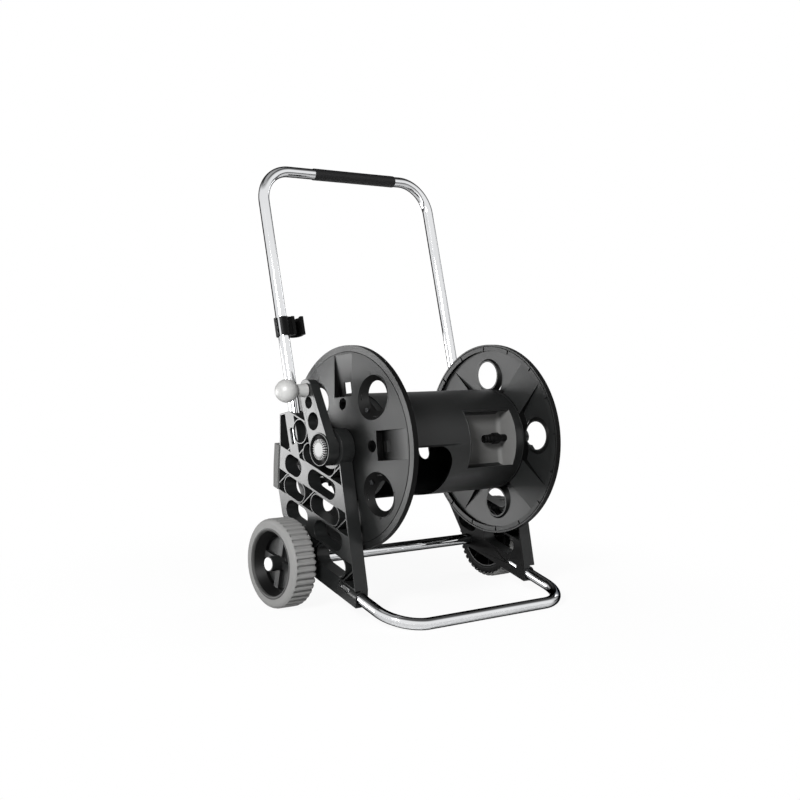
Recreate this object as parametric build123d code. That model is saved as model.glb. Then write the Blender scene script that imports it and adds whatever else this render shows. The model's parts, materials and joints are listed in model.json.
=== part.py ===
"""Garden hose reel cart, in millimetres.

+Z is up, -Y is the front with the foot bar, +X is the right-hand side, and the crank is on -X.
The ground is Z = 0 and the origin lies under the middle of the cart.
Pieces are drawn about the drum axis and moved to their height above the ground when written out.
On the side panels u runs forward and down along the rows of openings, and w runs up across them.
"""
import os
from math import cos, radians, sin, tan

from build123d import *

# Stance
SLOPE = 14.4  # the foot tubes and the panel rows fall this much towards the front, in degrees
DRUM_Y = -36.0
PANEL_T = 26.0

# Clearances
FIT = 0.1
RUN = 0.05
END_PLAY = 0.3
HUB_GAP = 0.2  # from a flange's hub to the collar of its bush

# Tubes
TUBE_R = 10.0
TUBE_WALL = 1.2
BEND_R = 62.0
HANDLE_U = -127.2  # where the handle's line crosses the level of the drum axis
HANDLE_LEAN = 31.0  # from the panel's w direction, in degrees
HANDLE_END_W = -44.0
HANDLE_TOP = 766.0
GRIP_LENGTH = 189.0
GRIP_OFFSET = 20.0
GRIP_WALL = 1.2

# Panel rows and openings
ROW_TOP = -49.0
ROW_PITCH = 38.2
ROWS = 4
RIB = 2.6
WEB = 3.0
PANEL_WALL = 3.0
SLOT_RIM = 2.2
SLOT_LENGTH = 84.0
SLOT_START = -50.5
SLOT_STEP = 21.0
SLOT_GAP = 22.0
SLOT_MARGIN = 21.0
TOP_SLOT = (-76.0, 20.0)
REAR_EDGE = (-149.0, -141.5, -131.0, -107.0, -60.0)  # u of the rear edge at each rib
REAR_TOP = (-165.0, 5.0)
TOP_EDGE = 20.0
FRONT_EDGE = 24.3
FRONT_LEAN = 28.4
BRACE_TURN = 52.0
TOP_BRACES = (-112.0, -82.0, 21.0)
CUP_AT = (-96.0, -3.0)
CUP_R = 20.0
CUP_RIM = 2.0  # depth of the cup over the handle's sleeve
TUBE_COVER = 5.2  # from the lowest rib to the foot tube
CHANNEL_WALL = 3.0
CHANNEL_NOSE = 7.0
SLEEVE_WALL = 2.8  # of the round front of the channel
FOOT_SLOT = (26.0, 7.0)
FOOT_SLOT_U = 101.0
TUBE_WINDOW = (30.0, 10.0)
TUBE_WINDOW_W = -19.0
PAD_T = 14.0
PAD_PROUD = 2.0  # from the panel's outer face to the pad's
PAD_RIBS = 5
PAD_GROOVE = 1.0

# Drum bearings
HUB_R = 34.0
TRUNNION_R = 15.0
BUSH_WALL = 4.0
BUSH_COLLAR = 1.2
BUSH_COLLAR_W = 5.0

# Flanges
FLANGE_R = 175.0
DRUM_HALF = 156.6  # from the middle to a flange's inner rim face
RIM_T = 10.2
RIM_W = 11.5
RIM_GROOVE = (1.0, 2.0)  # width and depth
RIM_LIP = 0.8
FLANGE_WALL = 3.0
FLANGE_RISE = 6.8  # height of the dish over the rim at the barrel
HUB_RISE = 11.8
DRUM_TURN = 8.2
HOLE_R = 25.0
HOLE_GAP = 1.0
HOLE_FLARE = 12.0
FUNNEL_TAPER = 0.7  # slope of a funnel's inner side against its outer side
HOLE_FACE = 5.7  # from the inner rim face to the edge of a round hole
POCKET_W = 50.0
POCKET_LAP = 5.0  # how far a ramp starts inside the barrel's radius
POCKET_MARGIN = 3.5
POCKET_FACE = 6.0
POCKET_WINDOW = (19.0, 19.0)  # along and across the pocket
POCKET_WINDOW_AT = -2.0
PORT_R = 10.0
PORT_SINK = 17.0
NOTCHES = 16
NOTCH_L = 9.0

# Barrel
BARREL_R = 92.0
BARREL_WALL = 3.0
COLLAR_W = 13.0
COLLAR_L = 10.0
END_L = 14.0  # length of the narrower end of the barrel
END_STEP = 1.5
WINDOW_TURN = -43.5
WINDOW_HALF = 46.5
WINDOW_X = 10.0
WINDOW_R = 28.0
REAR_SLOT = (50.0, 25.0)
REAR_SLOT_AT = (70.0, -17.0)  # along X and up from the drum axis
TRAY_LENGTH = 112.0
TRAY_MARGIN = 16.6  # from the tray to the flange's inner rim face
TRAY_HALF = 52.0
TRAY_DEPTH = 48.0
TRAY_WALL = 2.5
TRAY_ROUND = 8.5  # where the walls run into the floor
SCREW_R = 2.0
SCREW_HEAD_R = 4.2
SCREW_HEAD = 2.6
SCREW_L = 22.0

# Water way
PIPE_R = 6.0
PIPE_WALL = 1.5
PIPE_BACK = 6.6  # from the flange's inner rim face to the line of the pipe
PIPE_BEND = 9.0
CONNECTOR_SINK = 30.0
NIPPLE_L = 51.5
BANJO_R = 9.0
NECK_R = 11.0
NECK_GAP = 1.0  # from the panel to the shoulder of the neck
NECK_L = 25.0
ELBOW_WALL = 4.0
ELBOW_DROP = 62.0
ELBOW_TURN = 45.0  # from straight down towards the front
SEAL_W = 2.4
SEAL_DEPTH = 1.6
SEAL_AT = (0.3, 0.6)  # along the neck
NIPPLE_HEX_R = 10.2
NIPPLE_HEX = (0.32, 0.6)  # shares of the length
NIPPLE = (
    (0.0, 6.6), (0.2, 6.6), (0.3, 8.0), (0.72, 8.0), (0.74, 5.6), (0.79, 5.6), (0.81, 7.4),
    (0.86, 7.4), (0.88, 5.6), (0.92, 5.6), (0.94, 7.2), (0.98, 7.2), (1.0, 6.4),
)  # share of the length and radius

# Crank
CRANK_GAP = 1.5
CRANK_DEPTH = 20.5
CRANK_T = 17.0
CRANK_LEAN = 25.5
CRANK_REACH = 107.0
CRANK_HUB_R = 28.0
CRANK_END_R = 19.0
CRANK_HOLES = ((50.8, 15.0), (84.6, 10.0))
DRIVE_FLAT = 11.0
DRIVE_L = 12.0
CUP_RING = 1.8
CUP_SINK = 5.0
CAP_R = 17.5
CAP_TEETH = 24
CAP_TOOTH = (3.0, 2.2)
CAP_PROUD = 3.0
PIN_R = 5.0
PIN_STEM = 26.6
PIN_HEAD_R = 6.5
KNOB_R = 20.0
KNOB_NECK_R = 10.5
KNOB_FOOT_R = 12.0
KNOB_CENTRE = 38.0

# Wheels
WHEEL_R = 77.5
WHEEL_GAP = 19.0  # from the panel to the wheel
WHEEL_W = 47.0
AXLE_U = -26.7
AXLE_BOSS_R = 16.0
AXLE_SPACER_R = 15.0
WASHER_T = 1.6
RIM_R = 58.4
RIM_WALL = 3.0
WHEEL_HUB_R = 13.0
DISH_R = 45.0
SPOKE_SINK = 26.0  # from the tyre's outer face to the back of the spokes
SPOKE_T = 8.0
SPOKE_W = 13.0
SPOKES = 4
SPOKE_TURN = 11.0
DISC_T = 3.0
DISC_RIBS = 8
TREAD_GROOVES = 42
TREAD_W = 4.6
TREAD_DEPTH = 1.9
TREAD_SHOULDER = 11.0
TYRE_ROUND = 8.0
HUB_PROUD = 2.0  # from the tyre's outer face to the end of the hub
CAP_T = 3.0
CAP_LIP = 1.5
CAP_PLUG = 12.0

# Hose clip
CLIP_Z = 481.5
CLIP_H = 34.0
CLIP_WALL = 3.5
CLIP_CUP_R = 10.0
CLIP_REACH = 26.0
CLIP_MOUTH = 13.0
CLIP_LIP = 6.0  # width of the flat lips beside the mouth
CLIP_GAP = 8.0
CLIP_GAP_TURN = 23.5  # from the outward side towards the front, in degrees

# Values worked out from the sizes above
FALL = radians(SLOPE)
RIB_W = [ROW_TOP - i * ROW_PITCH for i in range(ROWS + 1)]
SLOT_H = ROW_PITCH - 2 * RIB
TUBE_W = RIB_W[-1] - TUBE_COVER - TUBE_R
BOTTOM_W = TUBE_W - TUBE_R - CHANNEL_WALL
PANEL_IN = DRUM_HALF + RIM_T + HUB_RISE + BUSH_COLLAR + HUB_GAP
PANEL_MID = PANEL_IN + PANEL_T / 2
PANEL_OUT = PANEL_IN + PANEL_T
POCKET_IN = BARREL_R - POCKET_LAP
POCKET_OUT = FLANGE_R - RIM_W - POCKET_MARGIN
HOLE_AT = BARREL_R + HOLE_R + HOLE_GAP
PORT_AT = BARREL_R - PORT_SINK
TRAY_X = (DRUM_HALF - TRAY_MARGIN - TRAY_LENGTH, DRUM_HALF - TRAY_MARGIN)
PIPE_X = DRUM_HALF - PIPE_BACK
CONNECTOR_AT = BARREL_R - CONNECTOR_SINK
CRANK_IN = PANEL_OUT + CRANK_GAP
CRANK_FACE = CRANK_IN + CRANK_DEPTH
CAP_FACE = CRANK_FACE + CAP_PROUD
WHEEL_IN = PANEL_OUT + WHEEL_GAP
WHEEL_OUT = WHEEL_IN + WHEEL_W
SPOKE_X = WHEEL_OUT - SPOKE_SINK
NECK_START = PANEL_OUT + NECK_GAP
AXLE_Y = -AXLE_U * cos(FALL) - TUBE_W * sin(FALL)
AXLE_Z = -AXLE_U * sin(FALL) + TUBE_W * cos(FALL)
DRUM_Z = WHEEL_R - AXLE_Z
FOOT_U = (TUBE_W * cos(FALL) + DRUM_Z - TUBE_R) / sin(FALL)
BUSH_R = TRUNNION_R + RUN + BUSH_WALL
WASHER_X = WHEEL_IN - WASHER_T - END_PLAY
WHEEL_HUB_END = WHEEL_OUT + END_PLAY + HUB_PROUD
AXLE_END = WHEEL_HUB_END + END_PLAY
CART = Pos(0, DRUM_Y, DRUM_Z)
DRUM_POSE = Rot(X=-DRUM_TURN)


def at_uw(u, w, x=0.0):
    """Return the place of a panel point, about the drum axis."""
    return (x, -u * cos(FALL) - w * sin(FALL), -u * sin(FALL) + w * cos(FALL))


def front_edge(w):
    """Return u of the panel's front edge at a height across the rows."""
    return FRONT_EDGE - w * tan(radians(FRONT_LEAN))


def handle_u(w):
    """Return u of the handle's line at a height across the rows."""
    return HANDLE_U - w * tan(radians(HANDLE_LEAN))


PANEL_PLANE = Plane(
    origin=(-PANEL_IN, 0, 0), x_dir=(0, -cos(FALL), -sin(FALL)), z_dir=(-1, 0, 0)
)


def both_sides(part):
    """Return a piece of the left side and its mirror image."""
    return part, mirror(part, Plane.YZ)


def along_x(r, x0, x1):
    """Return a cylinder about the drum axis between two places on X."""
    return Pos((x0 + x1) / 2, 0, 0) * Rot(Y=90) * Cylinder(r, x1 - x0)


def turned(points):
    """Return the solid turned about the drum axis from (x, r) points."""
    return revolve(make_face(Polyline(*[(x, r, 0) for x, r in points], close=True)), Axis.X)


def hollow_tube(path):
    """Return a thin-walled tube along a path."""
    ring = Circle(TUBE_R) - Circle(TUBE_R - TUBE_WALL)
    return sweep((path ^ 0) * ring, path=path)


# Side panels


def panel_outline():
    """Return the panel's outer shape in u and w."""
    nose = front_edge(RIB_W[-1]) + CHANNEL_NOSE
    points = [REAR_TOP, (HANDLE_U - CUP_R / 2, TOP_EDGE), (-HUB_R, TOP_EDGE), (front_edge(0), 0)]
    points += [(front_edge(RIB_W[-1]), RIB_W[-1]), (nose, BOTTOM_W), (AXLE_U, BOTTOM_W)]
    points += [(AXLE_U - AXLE_BOSS_R + RIB, TUBE_W)]
    points += [(u, w) for u, w in zip(REAR_EDGE[3::-1], RIB_W[3::-1])]
    body = make_face(Polyline(*points, close=True))
    return body + Circle(HUB_R) + Pos(AXLE_U, TUBE_W) * Circle(AXLE_BOSS_R)


def slot_spans():
    """Return (row, start, end, w) of every obround opening."""
    spans = [(-1, *TOP_SLOT, ROW_TOP + ROW_PITCH / 2)]
    for i in range(ROWS):
        w = RIB_W[i] - ROW_PITCH / 2
        start = SLOT_START + i * SLOT_STEP
        rear = (REAR_EDGE[i] + REAR_EDGE[i + 1]) / 2
        spans.append((i, rear + SLOT_MARGIN, start - SLOT_GAP, w))
        spans.append((i, start, start + SLOT_LENGTH, w))
    return spans


def slot_shape(start, end, w, grow=0.0):
    """Return one obround opening, grown all round."""
    return Pos((start + end) / 2, w) * SlotOverall(end - start + 2 * grow, SLOT_H + 2 * grow)


def brace(u, w):
    """Return one diagonal rib of a panel row."""
    return Pos(u, w) * Rot(Z=BRACE_TURN) * Rectangle(2 * ROW_PITCH, RIB)


def row_band(i):
    """Return the strip between two ribs, or above the first one for row -1."""
    if i < 0:
        return Pos(0, ROW_TOP + HUB_R) * Rectangle(4 * FLANGE_R, 2 * HUB_R)
    return Pos(0, RIB_W[i] - ROW_PITCH / 2) * Rectangle(4 * FLANGE_R, ROW_PITCH)


def panel_braces():
    """Return the diagonal ribs of the top, second and fourth rows."""
    ribs = Sketch()
    for u in TOP_BRACES:
        ribs += brace(u, ROW_TOP + RIB + SLOT_H / 3) & (
            Pos(0, ROW_TOP + SLOT_H / 2) * Rectangle(4 * FLANGE_R, SLOT_H + 2 * RIB)
        )
    for i in range(1, ROWS, 2):
        w = RIB_W[i] - ROW_PITCH / 2
        start = SLOT_START + i * SLOT_STEP
        rear = (REAR_EDGE[i] + REAR_EDGE[i + 1]) / 2 + SLOT_MARGIN / 2
        gaps = (rear, start - SLOT_GAP / 2, (start + SLOT_LENGTH + front_edge(w)) / 2)
        for u in gaps:
            ribs += brace(u, w) & row_band(i)
    return ribs


def left_side_panel():
    """Return the left panel: a moulded lattice whose rows are open to alternate sides."""
    outline = panel_outline()
    slots = Sketch()
    frame = outline - offset(outline, -PANEL_WALL)
    for w in RIB_W:
        frame += Pos(0, w) * Rectangle(4 * FLANGE_R, RIB) & outline
    for _, start, end, w in slot_spans():
        slots += slot_shape(start, end, w)
        frame += slot_shape(start, end, w, SLOT_RIM) & outline
    frame += panel_braces() & outline
    frame -= slots
    channel = Pos(0, (RIB_W[-1] + BOTTOM_W) / 2) * Rectangle(4 * FLANGE_R, RIB_W[-1] - BOTTOM_W)
    sleeve = Pos(handle_u(0), 0) * Rot(Z=HANDLE_LEAN) * Rectangle(
        2 * (TUBE_R + CHANNEL_WALL), 4 * HUB_R
    )
    above = Pos(0, ROW_TOP + HUB_R) * Rectangle(4 * FLANGE_R, 2 * HUB_R)
    frame += (channel & outline) + (sleeve & above & outline)
    frame += Pos(*CUP_AT) * Circle(CUP_R + SLOT_RIM) & outline
    frame += Circle(HUB_R) + Pos(AXLE_U, TUBE_W) * Circle(AXLE_BOSS_R)
    panel = extrude(frame, PANEL_T)
    for i in range(-1, ROWS):
        web = (row_band(i) & outline) - slots
        level = PANEL_T - WEB if i in range(0, ROWS, 2) else 0
        panel += Pos(0, 0, level) * extrude(web, WEB)
    spacer = WASHER_X - PANEL_IN
    panel += Pos(AXLE_U, TUBE_W, spacer / 2) * Cylinder(AXLE_SPACER_R, spacer)
    panel -= Cylinder(BUSH_R + FIT / 2, 4 * PANEL_T)
    panel -= Pos(AXLE_U, TUBE_W, 0) * Cylinder(TUBE_R + FIT / 2, 8 * PANEL_T)
    cup = Pos(*CUP_AT) * Circle(CUP_R)
    panel -= Pos(0, 0, PANEL_T - CUP_RIM) * extrude(cup, PANEL_T)
    panel -= Pos(0, 0, WEB) * extrude(cup - sleeve, PANEL_T)
    panel -= sleeve_relief()
    panel -= foot_bore() + handle_bore()
    window = Pos(handle_u(TUBE_WINDOW_W), TUBE_WINDOW_W) * Rot(Z=90 + HANDLE_LEAN) * SlotOverall(
        *TUBE_WINDOW
    )
    panel -= Pos(0, 0, PANEL_T / 2) * extrude(window, PANEL_T)
    panel -= extrude(Pos(FOOT_SLOT_U, TUBE_W + TUBE_R / 2) * SlotOverall(*FOOT_SLOT), PANEL_T)
    panel -= handle_screw_hole() + foot_screw_hole()
    return PANEL_PLANE * panel


def foot_start():
    """Return u of the rear end of the foot tube, in front of the axle."""
    return AXLE_U + TUBE_R + CHANNEL_WALL


def sleeve_relief():
    """Return what is cut away around the round front of the foot channel, in the panel's own frame."""
    start = FOOT_SLOT_U - FOOT_SLOT[0] / 2 - CHANNEL_WALL
    top, bottom = RIB_W[-1] - RIB / 2, BOTTOM_W - CHANNEL_WALL
    place = Pos(start + FOOT_U / 2, 0, 0)
    block = Pos(0, (top + bottom) / 2, PANEL_T) * Box(FOOT_U, top - bottom, PANEL_T)
    sleeve = Pos(0, TUBE_W, PANEL_T / 2) * Rot(Y=90) * Cylinder(TUBE_R + SLEEVE_WALL, 2 * FOOT_U)
    return place * (block - sleeve)


def foot_bore():
    """Return the bore for the foot tube, in the panel's own frame."""
    length = 2 * FOOT_U
    return (
        Pos(foot_start() + length / 2, TUBE_W, PANEL_T / 2)
        * Rot(Y=90)
        * Cylinder(TUBE_R + FIT / 2, length)
    )


def handle_bore():
    """Return the bore for the handle tube, in the panel's own frame."""
    length = 4 * HUB_R
    return (
        Pos(handle_u(HANDLE_END_W), HANDLE_END_W, PANEL_T / 2)
        * Rot(Z=HANDLE_LEAN)
        * Rot(X=-90)
        * Pos(0, 0, length / 2)
        * Cylinder(TUBE_R + FIT / 2, length)
    )


def handle_screw_w():
    """Return the height of the handle screw across the rows."""
    return HANDLE_END_W + TUBE_R + SCREW_HEAD_R


def handle_screw_hole():
    """Return the hole for the handle screw through the panel's inner wall."""
    w = handle_screw_w()
    return Pos(handle_u(w), w, 0) * Cylinder(SCREW_R + FIT / 2, PANEL_T / 2)


def foot_screw_u():
    """Return the place of the foot screw along the channel."""
    return (foot_start() + FOOT_SLOT_U) / 2


def foot_screw_hole():
    """Return the hole for the foot screw through the channel's lower wall."""
    return Pos(foot_screw_u(), BOTTOM_W, PANEL_T / 2) * Rot(X=90) * Cylinder(
        SCREW_R + FIT / 2, 2 * TUBE_R
    )


def screw(length):
    """Return a screw along +Z, with the underside of its head at the origin."""
    head = Pos(0, 0, -SCREW_HEAD / 2) * Cylinder(SCREW_HEAD_R, SCREW_HEAD)
    return head + Pos(0, 0, length / 2) * Cylinder(SCREW_R, length)


def handle_screws():
    """Return the screws that hold the handle tube in the panels."""
    w = handle_screw_w()
    left = PANEL_PLANE * Pos(handle_u(w), w, 0) * screw(PANEL_T / 4)
    return Compound(children=list(both_sides(left)))


def foot_screws():
    """Return the screws that hold the foot tube in the panels."""
    place = Pos(foot_screw_u(), BOTTOM_W, PANEL_T / 2) * Rot(X=-90)
    left = PANEL_PLANE * place * screw(PANEL_T / 4)
    return Compound(children=list(both_sides(left)))


def left_rear_pad():
    """Return the ribbed pad on the rear edge of the left panel."""
    edge = [(u, w) for u, w in zip(REAR_EDGE[:3], RIB_W[:3])]
    back = [(u - PAD_T, w) for u, w in reversed(edge)]
    width = PANEL_T + PAD_PROUD
    pad = extrude(make_face(Polyline(*edge, *back, close=True)), width)
    for i in range(1, PAD_RIBS):
        c = width * i / PAD_RIBS
        groove = make_face(Polyline(*[(u - PAD_T, w) for u, w in edge],
                                    *[(u - PAD_T + PAD_GROOVE, w) for u, w in reversed(edge)], close=True))
        pad -= Pos(0, 0, c - PAD_GROOVE / 2) * extrude(groove, PAD_GROOVE)
    return PANEL_PLANE * pad


# Tubes


def handle_tube():
    """Return the U-shaped handle tube."""
    _, y0, z0 = at_uw(handle_u(HANDLE_END_W), HANDLE_END_W)
    top = HANDLE_TOP - DRUM_Z
    y1 = y0 + (top - z0) * tan(radians(HANDLE_LEAN - SLOPE))
    points = [(-PANEL_MID, y0, z0), (-PANEL_MID, y1, top), (PANEL_MID, y1, top), (PANEL_MID, y0, z0)]
    tube = hollow_tube(FilletPolyline(*points, radius=BEND_R))
    hole = PANEL_PLANE * handle_screw_hole()
    return tube - hole - mirror(hole, Plane.YZ)


def handle_point(z):
    """Return the place of the left upright's line at a height over the ground."""
    _, y0, z0 = at_uw(HANDLE_U, 0)
    height = z - DRUM_Z
    return (-PANEL_MID, y0 + (height - z0) * tan(radians(HANDLE_LEAN - SLOPE)), height)


def handle_grip():
    """Return the sleeve on the handle's top bar."""
    _, y, z = handle_point(HANDLE_TOP)
    x0 = GRIP_OFFSET - GRIP_LENGTH / 2
    outer = along_x(TUBE_R + GRIP_WALL, x0, x0 + GRIP_LENGTH)
    sleeve = outer - along_x(TUBE_R + FIT / 2, x0, x0 + GRIP_LENGTH)
    return Pos(0, y, z) * sleeve


def foot_tube():
    """Return the U-shaped foot tube, whose front bar stands on the ground."""
    rear = foot_start()
    points = [at_uw(rear, TUBE_W, -PANEL_MID), at_uw(FOOT_U, TUBE_W, -PANEL_MID)]
    points += [at_uw(FOOT_U, TUBE_W, PANEL_MID), at_uw(rear, TUBE_W, PANEL_MID)]
    tube = hollow_tube(FilletPolyline(*points, radius=BEND_R))
    hole = PANEL_PLANE * foot_screw_hole()
    return tube - hole - mirror(hole, Plane.YZ)


def axle_tube():
    """Return the axle tube across both panels and wheels."""
    tube = along_x(TUBE_R, -AXLE_END, AXLE_END) - along_x(TUBE_R - TUBE_WALL, -AXLE_END, AXLE_END)
    return Pos(0, AXLE_Y, AXLE_Z) * tube


def left_axle_cap():
    """Return the cap that closes the axle and keeps the wheel on."""
    lip = along_x(TUBE_R + CAP_LIP, -AXLE_END - CAP_T, -AXLE_END)
    crown = chamfer(lip.edges().group_by(Axis.X)[0], CAP_T / 3)
    plug = along_x(TUBE_R - TUBE_WALL - FIT / 2, -AXLE_END, -AXLE_END + CAP_PLUG)
    return Pos(0, AXLE_Y, AXLE_Z) * (crown + plug)


def left_axle_washer():
    """Return the washer between the panel and the wheel."""
    ring = along_x(AXLE_SPACER_R, -WASHER_X - WASHER_T, -WASHER_X)
    ring -= along_x(TUBE_R + FIT / 2, -WHEEL_OUT, 0)
    return Pos(0, AXLE_Y, AXLE_Z) * ring


# Wheels


def left_wheel_rim():
    """Return the spoked rim of the left wheel."""
    hub_in = -WHEEL_IN
    face = -SPOKE_X - SPOKE_T
    barrel = turned([
        (hub_in, RIM_R - RIM_WALL), (hub_in, RIM_R), (-WHEEL_OUT, RIM_R), (face, DISH_R),
        (face + SPOKE_T, DISH_R), (-WHEEL_OUT + 4 * RIM_WALL, RIM_R - RIM_WALL),
    ])
    rim = barrel + along_x(WHEEL_HUB_R, -WHEEL_HUB_END, hub_in)
    for i in range(SPOKES):
        reach = DISH_R + RIM_WALL - TUBE_R
        spoke = Pos(-SPOKE_X - SPOKE_T / 2, 0, TUBE_R + reach / 2) * Box(SPOKE_T, SPOKE_W, reach)
        rim += Rot(X=SPOKE_TURN + i * 360 / SPOKES) * spoke
    rim += along_x(DISH_R + RIM_WALL, -SPOKE_X - DISC_T / 2, -SPOKE_X + DISC_T / 2)
    depth = SPOKE_X - WHEEL_IN - HUB_PROUD
    span = RIM_R - RIM_WALL / 2 - TUBE_R
    rib = Pos(-SPOKE_X + depth / 2, 0, TUBE_R + span / 2) * Box(depth, RIM_WALL / 2, span)
    for i in range(DISC_RIBS):
        rim += Rot(X=SPOKE_TURN + (i + 0.5) * 360 / DISC_RIBS) * rib
    rim -= along_x(TUBE_R + RUN, -2 * WHEEL_OUT, 0)
    return Pos(0, AXLE_Y, AXLE_Z) * rim


def left_tyre():
    """Return the ribbed tyre of the left wheel."""
    inner = RIM_R + FIT / 2
    width = WHEEL_OUT - WHEEL_IN
    section = Pos(-WHEEL_IN - width / 2, (inner + WHEEL_R) / 2) * Rectangle(width, WHEEL_R - inner)
    section = fillet(section.vertices().group_by(Axis.Y)[-1], TYRE_ROUND)
    tyre = revolve(section, Axis.X)
    groove_x = -(WHEEL_IN + WHEEL_OUT - TREAD_SHOULDER) / 2
    groove = Pos(groove_x, 0, WHEEL_R) * Box(width - TREAD_SHOULDER, TREAD_W, 2 * TREAD_DEPTH)
    step = 360 / TREAD_GROOVES
    tyre -= [Rot(X=(i + 0.5) * step) * groove for i in range(TREAD_GROOVES)]
    return Pos(0, AXLE_Y, AXLE_Z) * tyre


# Drum


def dish(r):
    """Return the flange's outer face, over its inner rim face, at a radius."""
    return RIM_T + FLANGE_RISE * (FLANGE_R - RIM_W - r) / (FLANGE_R - RIM_W - BARREL_R)


def flange_body(journal):
    """Return the dished disc with a journal, in a frame with +Z outwards."""
    rim_in = FLANGE_R - RIM_W
    collar_in = BARREL_R - COLLAR_W
    groove = FLANGE_R - RIM_W / 4
    hub_face = RIM_T + HUB_RISE
    hub_in = TRUNNION_R + 2 * FLANGE_WALL
    inside = [(0, FLANGE_WALL), (hub_in, FLANGE_WALL), (hub_in, hub_face - 2 * FLANGE_WALL)]
    inside += [(collar_in, dish(collar_in) - FLANGE_WALL), (collar_in, 0), (BARREL_R, 0)]
    inside += [(BARREL_R, dish(BARREL_R) - FLANGE_WALL), (rim_in, RIM_T - FLANGE_WALL)]
    width, depth = RIM_GROOVE
    rim = [(rim_in, 0), (groove - width, 0), (groove - width, depth), (groove, depth), (groove, 0)]
    rim += [(FLANGE_R, 0)]
    outside = [(FLANGE_R, RIM_T), (rim_in + RIM_LIP, RIM_T), (rim_in, dish(rim_in) + RIM_LIP)]
    outside += [(BARREL_R, dish(BARREL_R)), (2 * HUB_R, dish(2 * HUB_R)), (HUB_R, hub_face)]
    outside += [(TRUNNION_R, hub_face)] + journal
    points = [(r, 0, a) for r, a in inside + rim + outside]
    return revolve(make_face(Polyline(*points, close=True)), Axis.Z)


def pocket_block(inset, floor, top):
    """Return a wedge that runs from the rim down to its floor near the barrel."""
    half = POCKET_W / 2 + inset
    start = POCKET_IN - inset
    rim = RIM_T - (POCKET_FACE - floor)
    points = [(start, 0, floor), (POCKET_OUT, 0, rim), (POCKET_OUT, 0, rim + top / 4), (start, 0, top)]
    return extrude(make_face(Polyline(*points, close=True)), half, both=True)


def moulded_flange(journal):
    """Return one flange with its ramps, funnels, ports and notches, in a frame with +Z outwards."""
    flange = flange_body(journal)
    quarter = [Rot(Z=90 * i) for i in range(4)]
    inner_face = POCKET_FACE - FLANGE_WALL
    ramp = pocket_block(FLANGE_WALL, inner_face, dish(BARREL_R) - FLANGE_WALL / 2)
    recess = pocket_block(0, POCKET_FACE, 4 * RIM_T)
    middle = Rot(Z=45) * Pos(HOLE_AT, 0, 0)
    wall_top = dish(HOLE_AT) - FLANGE_WALL / 2
    slope = HOLE_FLARE / (dish(HOLE_AT) - HOLE_FACE)
    rise = wall_top - HOLE_FACE
    funnel = Pos(0, 0, HOLE_FACE + rise / 2) * Cone(
        HOLE_R + FLANGE_WALL, HOLE_R + FLANGE_WALL + slope * rise * FUNNEL_TAPER, rise
    )
    cut = 2 * RIM_T
    funnel_cut = Pos(0, 0, HOLE_FACE + cut / 2) * Cone(HOLE_R, HOLE_R + slope * cut, cut)
    hole = Cylinder(HOLE_R, 4 * RIM_T)
    flange += [turn * ramp for turn in quarter]
    flange += [turn * middle * funnel for turn in quarter]
    flange -= [turn * recess for turn in quarter]
    flange -= [turn * middle * (funnel_cut + hole) for turn in quarter]
    port = Pos(PORT_AT, 0, 0) * Cylinder(PORT_R, 8 * RIM_T)
    flange -= [turn * port for turn in quarter]
    notch_r = FLANGE_R - RIM_W - RIM_LIP + NOTCH_L / 2
    notch = Pos(notch_r, 0, 0) * Box(NOTCH_L, FLANGE_WALL, 2 * FLANGE_WALL)
    flange -= [Rot(Z=i * 360 / NOTCHES) * notch for i in range(NOTCHES)]
    seat = screw_seat()
    well = Pos(0, 0, seat + RIM_T) * Cylinder(SCREW_HEAD_R + 2 * FIT, 2 * RIM_T)
    bore = Cylinder(SCREW_R + FIT / 2, 8 * RIM_T)
    flange -= [turn * drum_screw_place() * (well + bore) for turn in quarter]
    return flange


def pocket_windows():
    """Return the cuts through the deep ends of the left flange's ramps."""
    window_r = BARREL_R + RIM_LIP + POCKET_WINDOW[0] / 2
    window = Pos(window_r, POCKET_WINDOW_AT, 0) * Box(*POCKET_WINDOW, 2 * dish(BARREL_R))
    return [Rot(Z=90 * i) * window for i in range(4)]


def screw_seat():
    """Return the height of a drum screw's seat over the inner rim face."""
    return dish(BARREL_R) - FLANGE_WALL - SCREW_HEAD


def drum_screw_place():
    """Return the place of the first drum screw on a flange."""
    return Rot(Z=45) * Pos(BARREL_R - COLLAR_W / 2, 0, 0)


LEFT_FLANGE = Plane(origin=(-DRUM_HALF, 0, 0), x_dir=(0, -1, 0), z_dir=(-1, 0, 0))
RIGHT_FLANGE = Plane(origin=(DRUM_HALF, 0, 0), x_dir=(0, -1, 0), z_dir=(1, 0, 0))
LEFT_TURN = Rot(Z=DRUM_TURN)
RIGHT_TURN = Rot(Z=45 - DRUM_TURN)


def left_flange():
    """Return the left flange with its solid trunnion and flat-sided crank end."""
    end = CRANK_IN + DRIVE_L - DRUM_HALF
    flange = moulded_flange([(TRUNNION_R, end), (0, end)]) - pocket_windows()
    drive = Pos(0, DRIVE_FLAT + TRUNNION_R, end) * Box(
        4 * TRUNNION_R, 2 * TRUNNION_R, 2 * (DRIVE_L + END_PLAY)
    )
    thread = Pos(0, 0, end) * Cylinder(SCREW_R + FIT / 2, 2 * SCREW_L)
    flange = LEFT_TURN * flange - Rot(Z=CRANK_LEAN) * drive - thread
    return LEFT_FLANGE * flange


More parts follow.
